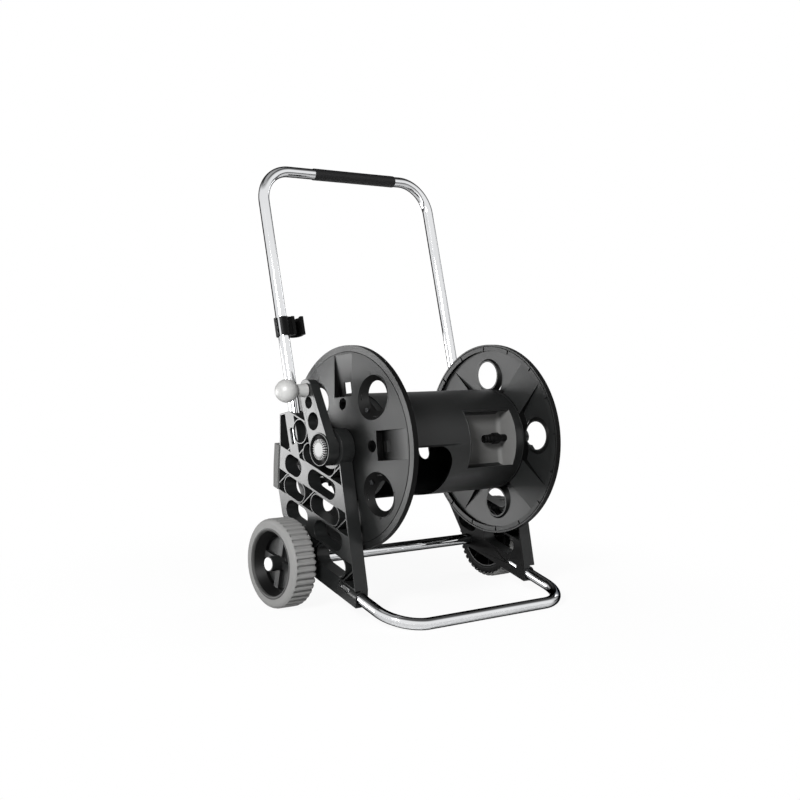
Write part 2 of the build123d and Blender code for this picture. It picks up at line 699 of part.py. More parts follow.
def right_flange():
    """Return the right flange with its hollow trunnion and inlet neck."""
    shoulder = NECK_START - DRUM_HALF
    end = shoulder + NECK_L
    seal_r = NECK_R - SEAL_DEPTH
    neck = [(TRUNNION_R, shoulder), (NECK_R, shoulder)]
    for s in seal_places():
        a = s - DRUM_HALF
        neck += [(NECK_R, a), (seal_r, a), (seal_r, a + SEAL_W), (NECK_R, a + SEAL_W)]
    flange = moulded_flange(neck + [(NECK_R, end), (0, end)])
    bore = Pos(0, 0, end / 2) * Cylinder(PIPE_R + FIT / 2, 2 * end)
    return RIGHT_FLANGE * (RIGHT_TURN * flange - bore)


def seal_places():
    """Return where each seal groove starts on X."""
    return [NECK_START + NECK_L * k for k in SEAL_AT]


def drum_screws():
    """Return the screws that hold the flanges on the barrel."""
    solids = []
    for plane, turn in ((LEFT_FLANGE, LEFT_TURN), (RIGHT_FLANGE, RIGHT_TURN)):
        for i in range(4):
            place = turn * Rot(Z=90 * i) * drum_screw_place() * Pos(0, 0, screw_seat())
            solids.append(plane * place * Rot(X=180) * screw(SCREW_L))
    return Compound(children=solids)


def barrel_window():
    """Return the large rounded opening cut out of one end of the barrel."""
    span = 2 * BARREL_R * sin(radians(WINDOW_HALF))
    length = DRUM_HALF - COLLAR_L - WINDOW_X
    shape = Rectangle(length, span)
    shape = fillet(shape.vertices().group_by(Axis.X)[-1], WINDOW_R)
    window = Pos(-WINDOW_X - length / 2, 0, 0) * extrude(shape, 2 * BARREL_R)
    return Rot(X=90 - WINDOW_TURN) * window


def rear_slot():
    """Return the upright obround opening in the rear of the barrel."""
    slot = Plane.XZ * Pos(*REAR_SLOT_AT) * Rot(Z=90) * SlotOverall(*REAR_SLOT)
    return extrude(slot, 2 * BARREL_R, dir=(0, 1, 0))


def drum_barrel():
    """Return the hollow barrel with its openings and end collars."""
    barrel = along_x(BARREL_R, -DRUM_HALF + END_L, DRUM_HALF - END_L)
    barrel += along_x(BARREL_R - END_STEP, -DRUM_HALF, DRUM_HALF)
    barrel -= along_x(BARREL_R - BARREL_WALL, -DRUM_HALF + COLLAR_L, DRUM_HALF - COLLAR_L)
    barrel -= along_x(BARREL_R - COLLAR_W, -DRUM_HALF, DRUM_HALF)
    barrel = DRUM_POSE * (barrel - tray_block(FIT))
    barrel -= barrel_window() + rear_slot()
    hole = drum_screw_place() * Cylinder(SCREW_R + FIT / 2, 4 * COLLAR_L)
    for plane, turn in ((LEFT_FLANGE, LEFT_TURN), (RIGHT_FLANGE, RIGHT_TURN)):
        barrel -= [plane * turn * Rot(Z=90 * i) * hole for i in range(4)]
    return barrel


def tray_block(grow):
    """Return the block that the connector tray is cut from, grown on its four sides."""
    x0, x1 = TRAY_X
    size = Box(x1 - x0 + 2 * grow, BARREL_R, 2 * (TRAY_HALF + grow))
    y = -(BARREL_R - TRAY_DEPTH) - BARREL_R / 2
    return Pos((x0 + x1) / 2, y, 0) * size


def connector_tray():
    """Return the tray sunk in the barrel around the hose connector."""
    x0, x1 = TRAY_X
    tray = tray_block(0) & along_x(BARREL_R, -DRUM_HALF, DRUM_HALF)
    inner = Box(x1 - x0 - 2 * TRAY_WALL, 2 * BARREL_R, 2 * (TRAY_HALF - TRAY_WALL))
    inner = fillet(inner.edges().group_by(Axis.Y)[-1], TRAY_ROUND)
    floor = -(BARREL_R - TRAY_DEPTH + TRAY_WALL)
    tray -= Pos((x0 + x1) / 2, floor - BARREL_R, 0) * inner
    hole = Pos(x1, -CONNECTOR_AT, 0) * Rot(Y=90) * Cylinder(PIPE_R + FIT / 2, 4 * TRAY_WALL)
    return DRUM_POSE * (tray - hole)


def nipple(length):
    """Return a hose nipple along +Z with a hexagon at its middle and two rings at its tip."""
    start, end = NIPPLE_HEX
    hexagon = extrude(RegularPolygon(NIPPLE_HEX_R, 6), length * (end - start))
    points = [(0, 0, 0)] + [(r, 0, a * length) for a, r in NIPPLE] + [(0, 0, length)]
    return Pos(0, 0, start * length) * hexagon + revolve(make_face(Polyline(*points, close=True)), Axis.Z)


def hose_connector():
    """Return the connector in the tray, with the banjo that joins it to the feed pipe."""
    wall = TRAY_X[1] - TRAY_WALL
    tip = Pos(wall, 0, 0) * Rot(Y=-90) * nipple(NIPPLE_L)
    stem = along_x(PIPE_R, wall, PIPE_X)
    banjo = Pos(PIPE_X, 0, 0) * Rot(X=90) * Cylinder(BANJO_R, 2 * BANJO_R)
    body = tip + stem + banjo - along_x(PIPE_R - PIPE_WALL, 0, PIPE_X)
    body = Pos(0, -CONNECTOR_AT, 0) * body
    pipe = Pos(PIPE_X, 0, 0) * Rot(X=90) * Cylinder(PIPE_R + FIT / 2, 2 * CONNECTOR_AT)
    return DRUM_POSE * (body - pipe)


def feed_pipe():
    """Return the pipe from the hollow trunnion out to the hose connector."""
    start = DRUM_HALF + RIM_T
    points = [(start, 0, 0), (PIPE_X, 0, 0), (PIPE_X, -CONNECTOR_AT, 0)]
    path = FilletPolyline(*points, radius=PIPE_BEND)
    ring = Circle(PIPE_R) - Circle(PIPE_R - PIPE_WALL)
    return DRUM_POSE * sweep((path ^ 0) * ring, path=path)


def inlet_seals():
    """Return the two seal rings on the inlet neck."""
    rings = []
    for x in seal_places():
        ring = along_x(NECK_R, x + FIT, x + SEAL_W - FIT)
        rings.append(ring - along_x(NECK_R - SEAL_DEPTH + FIT / 2, x, x + SEAL_W))
    return Compound(children=rings)


def inlet_elbow():
    """Return the swivelling water inlet on the right-hand hub."""
    x0 = NECK_START + END_PLAY
    neck_end = NECK_START + NECK_L + END_PLAY
    outer = NECK_R + ELBOW_WALL
    x1 = neck_end + 2 * PIPE_R + ELBOW_WALL
    elbow = along_x(outer, x0, x1)
    elbow = chamfer(elbow.edges().group_by(Axis.X)[-1], ELBOW_WALL)
    x_out = neck_end + PIPE_R
    drop = Rot(X=180) * Pos(0, 0, outer - ELBOW_WALL) * nipple(ELBOW_DROP - outer + ELBOW_WALL)
    elbow += Pos(x_out, 0, 0) * drop
    elbow -= along_x(NECK_R + RUN, x0, neck_end)
    elbow -= along_x(PIPE_R - PIPE_WALL, x0, x_out)
    elbow -= Pos(x_out, 0, -ELBOW_DROP / 2) * Cylinder(PIPE_R - PIPE_WALL, ELBOW_DROP)
    return Rot(X=-ELBOW_TURN) * elbow


def left_drum_bush():
    """Return the bush that carries the left trunnion."""
    bush = along_x(BUSH_R, -PANEL_OUT, -PANEL_IN)
    bush += along_x(BUSH_R + BUSH_COLLAR_W, -PANEL_IN, -PANEL_IN + BUSH_COLLAR)
    return bush - along_x(TRUNNION_R + RUN, -2 * PANEL_OUT, 0)


# Crank

CRANK_PLANE = Plane(origin=(0, 0, 0), x_dir=(0, -1, 0), z_dir=(-1, 0, 0))
CRANK_TURN = Rot(Z=CRANK_LEAN)


def crank_arm():
    """Return the tapered crank arm with its cupped hub."""
    ends = Circle(CRANK_HUB_R) + Pos(0, CRANK_REACH) * Circle(CRANK_END_R)
    arm = make_hull(ends.edges())
    for reach, r in CRANK_HOLES:
        arm -= Pos(0, reach) * Circle(r)
    plate = Pos(0, 0, CRANK_FACE - CRANK_T) * extrude(arm, CRANK_T)
    hub = Pos(0, 0, CRANK_IN) * extrude(Circle(CRANK_HUB_R), CRANK_FACE - CRANK_IN + CUP_RING)
    cup = extrude(Circle(CRANK_HUB_R - CUP_RING), 2 * CUP_SINK)
    bore = Circle(TRUNNION_R + RUN) - Pos(0, DRIVE_FLAT + RUN + TRUNNION_R) * Rectangle(
        4 * TRUNNION_R, 2 * TRUNNION_R
    )
    crank = plate + hub - Pos(0, 0, CRANK_FACE + CUP_RING - CUP_SINK) * cup
    crank -= Pos(0, 0, CRANK_IN) * extrude(bore, DRIVE_L + END_PLAY)
    crank -= Pos(0, 0, CRANK_FACE) * Cylinder(SCREW_R + FIT / 2, 2 * CRANK_T)
    crank -= Pos(0, CRANK_REACH, CRANK_FACE) * Cylinder(PIN_R + FIT / 2, 4 * CRANK_T)
    return CRANK_PLANE * CRANK_TURN * crank


def cup_floor():
    """Return the distance of the crank cup's floor from the middle of the cart."""
    return CRANK_FACE + CUP_RING - CUP_SINK


def crank_screw():
    """Return the screw that holds the crank on the trunnion."""
    return CRANK_PLANE * Pos(0, 0, cup_floor()) * Rot(X=180) * screw(SCREW_L)


def crank_cap():
    """Return the toothed cap in the crank's hub."""
    floor = cup_floor()
    root = CAP_R - CAP_TOOTH[0] / 2
    disc = Circle(root)
    tooth = Pos(root, 0) * Rectangle(*CAP_TOOTH)
    disc += [Rot(Z=i * 360 / CAP_TEETH) * tooth for i in range(CAP_TEETH)]
    cap = Pos(0, 0, floor) * extrude(disc, CAP_FACE - floor)
    cap -= Pos(0, 0, floor) * Cylinder(SCREW_HEAD_R + FIT, 2 * (SCREW_HEAD + FIT))
    return CRANK_PLANE * CRANK_TURN * cap


def crank_knob():
    """Return the ball knob that turns on the crank's pin."""
    lift = CRANK_FACE + END_PLAY
    neck = Pos(0, 0, KNOB_CENTRE / 2) * Cone(KNOB_FOOT_R, KNOB_NECK_R, KNOB_CENTRE)
    knob = neck + Pos(0, 0, KNOB_CENTRE) * Sphere(KNOB_R)
    waist = KNOB_CENTRE - (KNOB_R**2 - KNOB_NECK_R**2) ** 0.5
    ring = knob.edges().filter_by(GeomType.CIRCLE).sort_by_distance((KNOB_NECK_R, 0, waist))[0]
    knob = fillet(ring, KNOB_NECK_R / 2)
    knob -= pin_shape(RUN, END_PLAY)
    return CRANK_PLANE * CRANK_TURN * Pos(0, CRANK_REACH, lift) * knob


def pin_shape(side, end):
    """Return the pin's stem and its snap head above the arm, grown for a clearance."""
    head_l = 2 * PIN_R
    stem = Pos(0, 0, PIN_STEM / 2) * Cylinder(PIN_R + side, PIN_STEM)
    head = Pos(0, 0, PIN_STEM + head_l / 2) * Cylinder(PIN_HEAD_R + side, head_l + 2 * end)
    return stem + head


def knob_pin():
    """Return the pin in the crank arm that carries the knob."""
    foot = Pos(0, 0, -CRANK_T / 2) * Cylinder(PIN_R, CRANK_T)
    gap = Pos(0, 0, END_PLAY / 2) * Cylinder(PIN_R, END_PLAY)
    pin = foot + gap + Pos(0, 0, END_PLAY) * pin_shape(0, 0)
    return CRANK_PLANE * CRANK_TURN * Pos(0, CRANK_REACH, CRANK_FACE) * pin


# Hose clip


def hose_clip():
    """Return the clip on the left upright that holds the hose end."""
    lean = HANDLE_LEAN - SLOPE
    outer = TUBE_R + CLIP_WALL
    cup_out = CLIP_CUP_R + CLIP_WALL
    cup_at = Pos(CLIP_REACH, 0)
    shape = Circle(outer) + cup_at * Circle(cup_out)
    shape += Pos(CLIP_REACH / 2, 0) * Rectangle(CLIP_REACH, 2 * TUBE_R)
    lip_w = CLIP_MOUTH + 2 * CLIP_LIP
    shape += Pos(CLIP_REACH, -cup_out + CLIP_WALL) * Rectangle(lip_w, 2 * CLIP_WALL)
    shape -= Circle(TUBE_R + RUN)
    shape -= cup_at * Circle(CLIP_CUP_R)
    shape -= Pos(CLIP_REACH, -cup_out) * Rectangle(CLIP_MOUTH, 2 * CLIP_CUP_R)
    shape -= Rot(Z=CLIP_GAP_TURN) * Pos(-outer, 0) * Rectangle(outer, CLIP_GAP)
    return Pos(*handle_point(CLIP_Z)) * Rot(X=-lean) * extrude(shape, CLIP_H / 2, both=True)


def parts():
    """Return every node of the cart by name."""
    nodes = {}
    pairs = (left_side_panel, left_rear_pad, left_axle_cap, left_axle_washer, left_drum_bush,
             left_wheel_rim, left_tyre)
    for make in pairs:
        name = make.__name__
        nodes[name], nodes[name.replace("left", "right")] = both_sides(make())
    singles = (handle_tube, handle_grip, foot_tube, axle_tube, handle_screws, foot_screws,
               left_flange, right_flange, drum_barrel, connector_tray, drum_screws, hose_connector,
               feed_pipe, inlet_seals, inlet_elbow, crank_arm, crank_screw, crank_cap, knob_pin,
               crank_knob, hose_clip)
    for make in singles:
        nodes[make.__name__] = make()
    return nodes


os.makedirs("parts", exist_ok=True)
for node, solid in parts().items():
    export_step(CART * solid, f"parts/{node}.step")
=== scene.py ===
import json
import math

import bmesh
import bpy
import numpy as np
from mathutils import Matrix, Vector


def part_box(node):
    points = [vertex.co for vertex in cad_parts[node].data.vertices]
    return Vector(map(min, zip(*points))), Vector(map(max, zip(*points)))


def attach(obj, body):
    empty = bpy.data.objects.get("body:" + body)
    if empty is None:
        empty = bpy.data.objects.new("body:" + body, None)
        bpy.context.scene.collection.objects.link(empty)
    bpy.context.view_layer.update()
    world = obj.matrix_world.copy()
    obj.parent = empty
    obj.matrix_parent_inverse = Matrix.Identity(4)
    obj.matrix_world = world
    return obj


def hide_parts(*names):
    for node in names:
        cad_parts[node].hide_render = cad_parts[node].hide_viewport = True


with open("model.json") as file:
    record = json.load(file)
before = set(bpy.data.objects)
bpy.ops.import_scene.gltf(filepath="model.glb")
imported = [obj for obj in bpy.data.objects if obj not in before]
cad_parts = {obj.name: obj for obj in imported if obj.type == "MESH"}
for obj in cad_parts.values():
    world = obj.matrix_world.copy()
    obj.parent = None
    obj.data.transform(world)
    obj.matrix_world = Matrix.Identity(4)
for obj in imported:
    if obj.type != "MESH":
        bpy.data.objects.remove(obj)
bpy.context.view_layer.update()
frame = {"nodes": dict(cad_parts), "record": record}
nodes = frame["nodes"]
scene = bpy.context.scene
slotOf = {p["node"]: p["material_slot"] for p in frame["record"]["subparts"]}
bodyOf = {n: b for b, members in frame["record"]["behaviour"]["bodies"].items() for n in members}
print("frame loaded:", len(nodes), "nodes")

# places that several pieces share, in metres
drumAxis = (-0.036, 0.28104)     # y and z of the line along X that the drum turns about
wheelAxis = (0.04383, 0.0775)    # the same for the wheels
handleTop = (0.22235, 0.766)     # the same for the handle's top bar
tubeSide = 0.193                 # the bent tubes' runs lie this far from the middle plane
axleEnd = 0.2746                 # the axle reaches as far as this to each side
mmPerMetre = 1000
sides = (("left", -1), ("right", 1))    # each side's name, and its sign along X


def srgb(hexText):
    # sRGB hex to linear RGBA
    v = np.array([int(hexText[i:i + 2], 16) for i in (1, 3, 5)]) / 255
    lin = np.where(v <= 0.04045, v / 12.92, ((v + 0.055) / 1.055) ** 2.4)
    return (*lin.tolist(), 1.0)


def addNode(tree, kind, settings=None, links=None):
    # one node with its attributes or socket values, and its incoming links
    # a mix node has its two numbers at sockets 2 and 3, and its two colours at 6 and 7
    made = tree.nodes.new(kind)
    for key, value in (settings or {}).items():
        if isinstance(key, int) or key in made.inputs:
            made.inputs[key].default_value = value
        else:
            setattr(made, key, value)
    for key, source in (links or {}).items():
        tree.links.new(source, made.inputs[key])
    return made


# camera, solved from the rims of both flanges and the tubes
cameraSet = {
    "centre": (-1.47008, -1.80680, 0.53389),
    "right": (0.78291, -0.62168, 0.02371),
    "up": (0.02923, 0.07482, 0.99677),
    "back": (-0.62145, -0.77969, 0.07675),
    "lens": 58.23,
    "sensor": 36.0,
    "clip": (0.05, 50.0),
}


def makeCamera(c):
    data = bpy.data.cameras.new("camera")
    data.sensor_width, data.lens = c["sensor"], c["lens"]
    data.clip_start, data.clip_end = c["clip"]
    cam = bpy.data.objects.new("camera", data)
    turn = Matrix((c["right"], c["up"], c["back"])).transposed().to_4x4()
    cam.matrix_world = Matrix.Translation(c["centre"]) @ turn
    scene.collection.objects.link(cam)
    scene.camera = cam


makeCamera(cameraSet)
scene.view_settings.view_transform = "Standard"
print("camera set")

# studio: pale paper, white surroundings with a dark card and ceiling in the reflections, and four soft boxes
studioSet = {
    "floorColour": "#f4f4f4",
    "floorSize": 40.0,
    "floorShadow": 0.07,         # share of the lit floor under the object, the rest is plain white
    "fade": (0.25, 0.85),        # metres from the middle over which the floor turns plain white
    "worldDiffuse": 0.12,        # level of the surroundings as a light
    "ceiling": (0.55, 0.80),     # sine of the height over which the reflected surroundings darken
    "ceilingTilt": 0.35,         # how much lower the dark ceiling comes down behind the object than in front
    "ceilingLevel": 0.10,
    "flagTurn": 51.4,            # compass turn of the dark card behind the object, from +X
    "flagHalf": 0.25,            # cosine of half its width
    "flagTop": 0.13,             # sine of its upper edge
    "flagSoft": (0.04, 0.05),    # half the width of its soft side and upper edges, in the same measures
    "flagLevel": 0.04,
    "sheenOnly": ("leftRearStrip",),    # lamps that show in gloss and add no light of their own
    "lamps": (
        # name, place, aim, size, watts: a strip for the sheen on the outer faces, the key, and two fills
        ("leftRearStrip", (-0.92, 0.99, 0.20), (-0.20, 0.0, 0.28), (0.9, 0.40), 13.9),
        ("keyBox", (-2.05, -1.3, 1.35), (0.0, 0.0, 0.30), (0.6, 0.6), 88.0),
        ("topBox", (-0.2, 0.3, 2.3), (0.0, 0.0, 0.30), (1.6, 1.2), 2.0),
        ("rightRearBox", (2.0, 0.5, 0.75), (0.0, 0.0, 0.30), (1.0, 1.0), 26.0),
    ),
}


def makeFloor(s):
    # a square of paper that shows some of the object's shadow and is plain white to the eye further out
    h = s["floorSize"] / 2
    mesh = bpy.data.meshes.new("floor")
    mesh.from_pydata([(-h, -h, 0), (h, -h, 0), (h, h, 0), (-h, h, 0)], [], [(0, 1, 2, 3)])
    floor = bpy.data.objects.new("floor", mesh)
    scene.collection.objects.link(floor)
    mat = bpy.data.materials.new("paleStudioPaper")
    mat.use_nodes = True
    tree = mat.node_tree
    tree.nodes.clear()
    at = addNode(tree, "ShaderNodeTexCoord")
    far = addNode(tree, "ShaderNodeVectorMath", {"operation": "LENGTH"}, {0: at.outputs["Object"]})
    fade = addNode(tree, "ShaderNodeMapRange", {
        "interpolation_type": "SMOOTHSTEP", "From Min": s["fade"][0], "From Max": s["fade"][1],
        "To Min": 1.0 - s["floorShadow"], "To Max": 1.0}, {"Value": far.outputs["Value"]})
    path = addNode(tree, "ShaderNodeLightPath")
    seen = addNode(tree, "ShaderNodeMath", {"operation": "MAXIMUM"}, {
        0: path.outputs["Is Camera Ray"], 1: path.outputs["Is Transmission Ray"]})
    share = addNode(tree, "ShaderNodeMath", {"operation": "MULTIPLY"}, {
        0: seen.outputs[0], 1: fade.outputs[0]})
    paper = addNode(tree, "ShaderNodeBsdfDiffuse", {"Color": srgb(s["floorColour"])})
    white = addNode(tree, "ShaderNodeEmission", {"Color": (1, 1, 1, 1), "Strength": 1.0})
    both = addNode(tree, "ShaderNodeMixShader", None, {
        0: share.outputs[0], 1: paper.outputs[0], 2: white.outputs[0]})
    addNode(tree, "ShaderNodeOutputMaterial", None, {"Surface": both.outputs[0]})
    mesh.materials.append(mat)


def makeLamps(s):
    for name, place, aim, size, watts in s["lamps"]:
        data = bpy.data.lights.new(name, "AREA")
        data.shape, data.size, data.size_y, data.energy = "RECTANGLE", *size, watts
        lamp = bpy.data.objects.new(name, data)
        toAim = Vector(aim) - Vector(place)
        lamp.matrix_world = Matrix.Translation(place) @ toAim.to_track_quat("-Z", "Y").to_matrix().to_4x4()
        lamp.visible_camera = False
        lamp.visible_diffuse = name not in s["sheenOnly"]
        scene.collection.objects.link(lamp)


def makeWorld(s):
    # white to the eye; in gloss a dark card behind draws the edges of the tubes, and the ceiling is dark
    world = bpy.data.worlds.new("studioWorld")
    world.use_nodes = True
    tree = world.node_tree
    tree.nodes.clear()
    path = addNode(tree, "ShaderNodeLightPath")
    at = addNode(tree, "ShaderNodeTexCoord")
    turn = math.radians(s["flagTurn"])
    ahead = addNode(tree, "ShaderNodeVectorMath", {
        "operation": "DOT_PRODUCT", 1: (math.cos(turn), math.sin(turn), 0)}, {0: at.outputs["Generated"]})
    parts = addNode(tree, "ShaderNodeSeparateXYZ", None, {0: at.outputs["Generated"]})
    sideSoft, topSoft = s["flagSoft"]
    across = addNode(tree, "ShaderNodeMapRange", {
        "From Min": s["flagHalf"] - sideSoft, "From Max": s["flagHalf"] + sideSoft},
        {"Value": ahead.outputs["Value"]})
    above = addNode(tree, "ShaderNodeMapRange", {
        "From Min": s["flagTop"] + topSoft, "From Max": s["flagTop"] - topSoft},
        {"Value": parts.outputs["Z"]})
    card = addNode(tree, "ShaderNodeMath", {"operation": "MULTIPLY"}, {
        0: across.outputs[0], 1: above.outputs[0]})
    paled = addNode(tree, "ShaderNodeMapRange", {"To Min": 1.0, "To Max": s["flagLevel"]},
                    {"Value": card.outputs[0]})
    rise = addNode(tree, "ShaderNodeMath", {"operation": "MULTIPLY_ADD", 1: s["ceilingTilt"]}, {
        0: ahead.outputs["Value"], 2: parts.outputs["Z"]})
    roof = addNode(tree, "ShaderNodeMapRange", {
        "From Min": s["ceiling"][0], "From Max": s["ceiling"][1], "To Min": 1.0, "To Max": s["ceilingLevel"]},
        {"Value": rise.outputs[0]})
    gloss = addNode(tree, "ShaderNodeMath", {"operation": "MULTIPLY"}, {
        0: paled.outputs[0], 1: roof.outputs[0]})
    lit = addNode(tree, "ShaderNodeMix", {"data_type": "FLOAT", 2: s["worldDiffuse"]}, {
        0: path.outputs["Is Glossy Ray"], 3: gloss.outputs[0]})
    level = addNode(tree, "ShaderNodeMix", {"data_type": "FLOAT", 3: 1.0}, {
        0: path.outputs["Is Camera Ray"], 2: lit.outputs[0]})
    back = addNode(tree, "ShaderNodeBackground", {"Color": (1, 1, 1, 1)}, {"Strength": level.outputs[0]})
    addNode(tree, "ShaderNodeOutputWorld", None, {"Surface": back.outputs[0]})
    scene.world = world


makeFloor(studioSet)
makeLamps(studioSet)
makeWorld(studioSet)
print("studio set")

# what most of the plastics share; sizes in millimetres are of the pattern, the relief is in metres
plainPlastic = {
    "mottleDetail": 3.0, "grainMm": 1.0, "grainDetail": 2.0, "relief": 0.0002, "roughSpread": 0.05,
    "ior": 1.49, "sheen": 0.5,
}
plainSteel = {"cloudDetail": 2.0, "roughSpread": 0.03, "edgeBlend": 0.5}


def newMaterial(name):
    # a material with its node tree and its shader
    mat = bpy.data.materials.new(name)
    mat.use_nodes = True
    return mat, mat.node_tree, mat.node_tree.nodes["Principled BSDF"]


def shadeFlange(tree, shader, at, colour, sheen, d):
    # painted shade: colour and sheen fall off with the depth of outward faces, and everywhere towards the hub
    here = addNode(tree, "ShaderNodeSeparateXYZ", None, {0: at.outputs["Object"]})
    facing = addNode(tree, "ShaderNodeSeparateXYZ", None, {0: at.outputs["Normal"]})
    away = addNode(tree, "ShaderNodeMath", {"operation": "ABSOLUTE"}, {0: here.outputs["X"]})
    depth = addNode(tree, "ShaderNodeMapRange", {
        "From Min": d["sunk"][0], "From Max": d["sunk"][1], "To Min": d["sunkLevel"], "To Max": 1.0},
        {"Value": away.outputs[0]})
    side = addNode(tree, "ShaderNodeMath", {"operation": "SIGN"}, {0: here.outputs["X"]})
    outward = addNode(tree, "ShaderNodeMath", {"operation": "MULTIPLY"}, {
        0: side.outputs[0], 1: facing.outputs["X"]})
    outer = addNode(tree, "ShaderNodeMath", {"operation": "GREATER_THAN", 1: d["outward"]}, {
        0: outward.outputs[0]})
    pocket = addNode(tree, "ShaderNodeMix", {"data_type": "FLOAT", 2: 1.0}, {
        0: outer.outputs[0], 3: depth.outputs[0]})
    offAxis = addNode(tree, "ShaderNodeVectorMath", {"operation": "SUBTRACT", 1: (0.0, *drumAxis)}, {
        0: at.outputs["Object"]})
    across = addNode(tree, "ShaderNodeVectorMath", {"operation": "MULTIPLY", 1: (0.0, 1.0, 1.0)}, {
        0: offAxis.outputs[0]})
    radius = addNode(tree, "ShaderNodeVectorMath", {"operation": "LENGTH"}, {0: across.outputs[0]})
    nearHub = addNode(tree, "ShaderNodeMapRange", {
        "interpolation_type": "SMOOTHSTEP", "From Min": d["hub"][0], "From Max": d["hub"][1],
        "To Min": d["hubLevel"], "To Max": 1.0}, {"Value": radius.outputs["Value"]})
    kept = addNode(tree, "ShaderNodeMath", {"operation": "MULTIPLY"}, {
        0: pocket.outputs[0], 1: nearHub.outputs[0]})
    dimmed = addNode(tree, "ShaderNodeVectorMath", {"operation": "SCALE"}, {
        0: colour, "Scale": kept.outputs[0]})
    gloss = addNode(tree, "ShaderNodeMath", {"operation": "MULTIPLY", 1: sheen}, {0: kept.outputs[0]})
    tree.links.new(dimmed.outputs[0], shader.inputs["Base Color"])
    tree.links.new(gloss.outputs[0], shader.inputs["Specular IOR Level"])


def mouldedPlastic(name, values):
    # injection-moulded plastic: even colour with a faint flow mottle, a spark-eroded grain and dulled gloss
    f = {**plainPlastic, **values}
    mat, tree, shader = newMaterial(name)
    at = addNode(tree, "ShaderNodeTexCoord")
    mottle = addNode(tree, "ShaderNodeTexNoise", {
        "Scale": mmPerMetre / f["mottleMm"], "Detail": f["mottleDetail"]}, {"Vector": at.outputs["Object"]})
    colour = addNode(tree, "ShaderNodeMix", {
        "data_type": "RGBA", 6: srgb(f["dark"]), 7: srgb(f["light"])}, {0: mottle.outputs["Fac"]})
    fine = addNode(tree, "ShaderNodeTexNoise", {
        "Scale": mmPerMetre / f["grainMm"], "Detail": f["grainDetail"]}, {"Vector": at.outputs["Object"]})
    bump = addNode(tree, "ShaderNodeBump", {"Strength": f["grain"], "Distance": f["relief"]},
                   {"Height": fine.outputs["Fac"]})
    level = addNode(tree, "ShaderNodeMapRange", {
        "To Min": f["rough"] - f["roughSpread"], "To Max": f["rough"] + f["roughSpread"]},
        {"Value": mottle.outputs["Fac"]})
    shader.inputs["IOR"].default_value = f["ior"]
    shader.inputs["Specular IOR Level"].default_value = f["sheen"]
    tree.links.new(colour.outputs[2], shader.inputs["Base Color"])
    tree.links.new(level.outputs[0], shader.inputs["Roughness"])
    tree.links.new(bump.outputs[0], shader.inputs["Normal"])
    if "shade" in f:
        shadeFlange(tree, shader, at, colour.outputs[2], f["sheen"], f["shade"])
    return mat


def platedSteel(name, values):
    # plated steel: bright, with a faint drawing texture that varies the gloss
    f = {**plainSteel, **values}
    mat, tree, shader = newMaterial(name)
    shader.inputs["Metallic"].default_value = 1.0
    at = addNode(tree, "ShaderNodeTexCoord")
    cloud = addNode(tree, "ShaderNodeTexNoise", {
        "Scale": mmPerMetre / f["cloudMm"], "Detail": f["cloudDetail"]}, {"Vector": at.outputs["Object"]})
    level = addNode(tree, "ShaderNodeMapRange", {
        "To Min": f["rough"] - f["roughSpread"], "To Max": f["rough"] + f["roughSpread"]},
        {"Value": cloud.outputs["Fac"]})
    colour = addNode(tree, "ShaderNodeMix", {
        "data_type": "RGBA", 6: srgb(f["dark"]), 7: srgb(f["light"])}, {0: cloud.outputs["Fac"]})
    tree.links.new(level.outputs[0], shader.inputs["Roughness"])
    tree.links.new(colour.outputs[2], shader.inputs["Base Color"])
    if "edge" in f:
        # painted reflection: the plating's colour and tint darken towards a glancing angle, drawing dark
        # outlines on the tubes
        limb = addNode(tree, "ShaderNodeLayerWeight", {"Blend": f["edgeBlend"]})
        dim = addNode(tree, "ShaderNodeMapRange", {
            "From Min": f["edge"][0], "From Max": f["edge"][1], "To Min": 1.0, "To Max": f["edgeLevel"]},
            {"Value": limb.outputs["Facing"]})
        edged = addNode(tree, "ShaderNodeVectorMath", {"operation": "SCALE"}, {
            0: colour.outputs[2], "Scale": dim.outputs[0]})
        for socket in ("Base Color", "Specular Tint"):
            tree.links.new(edged.outputs[0], shader.inputs[socket])
    return mat


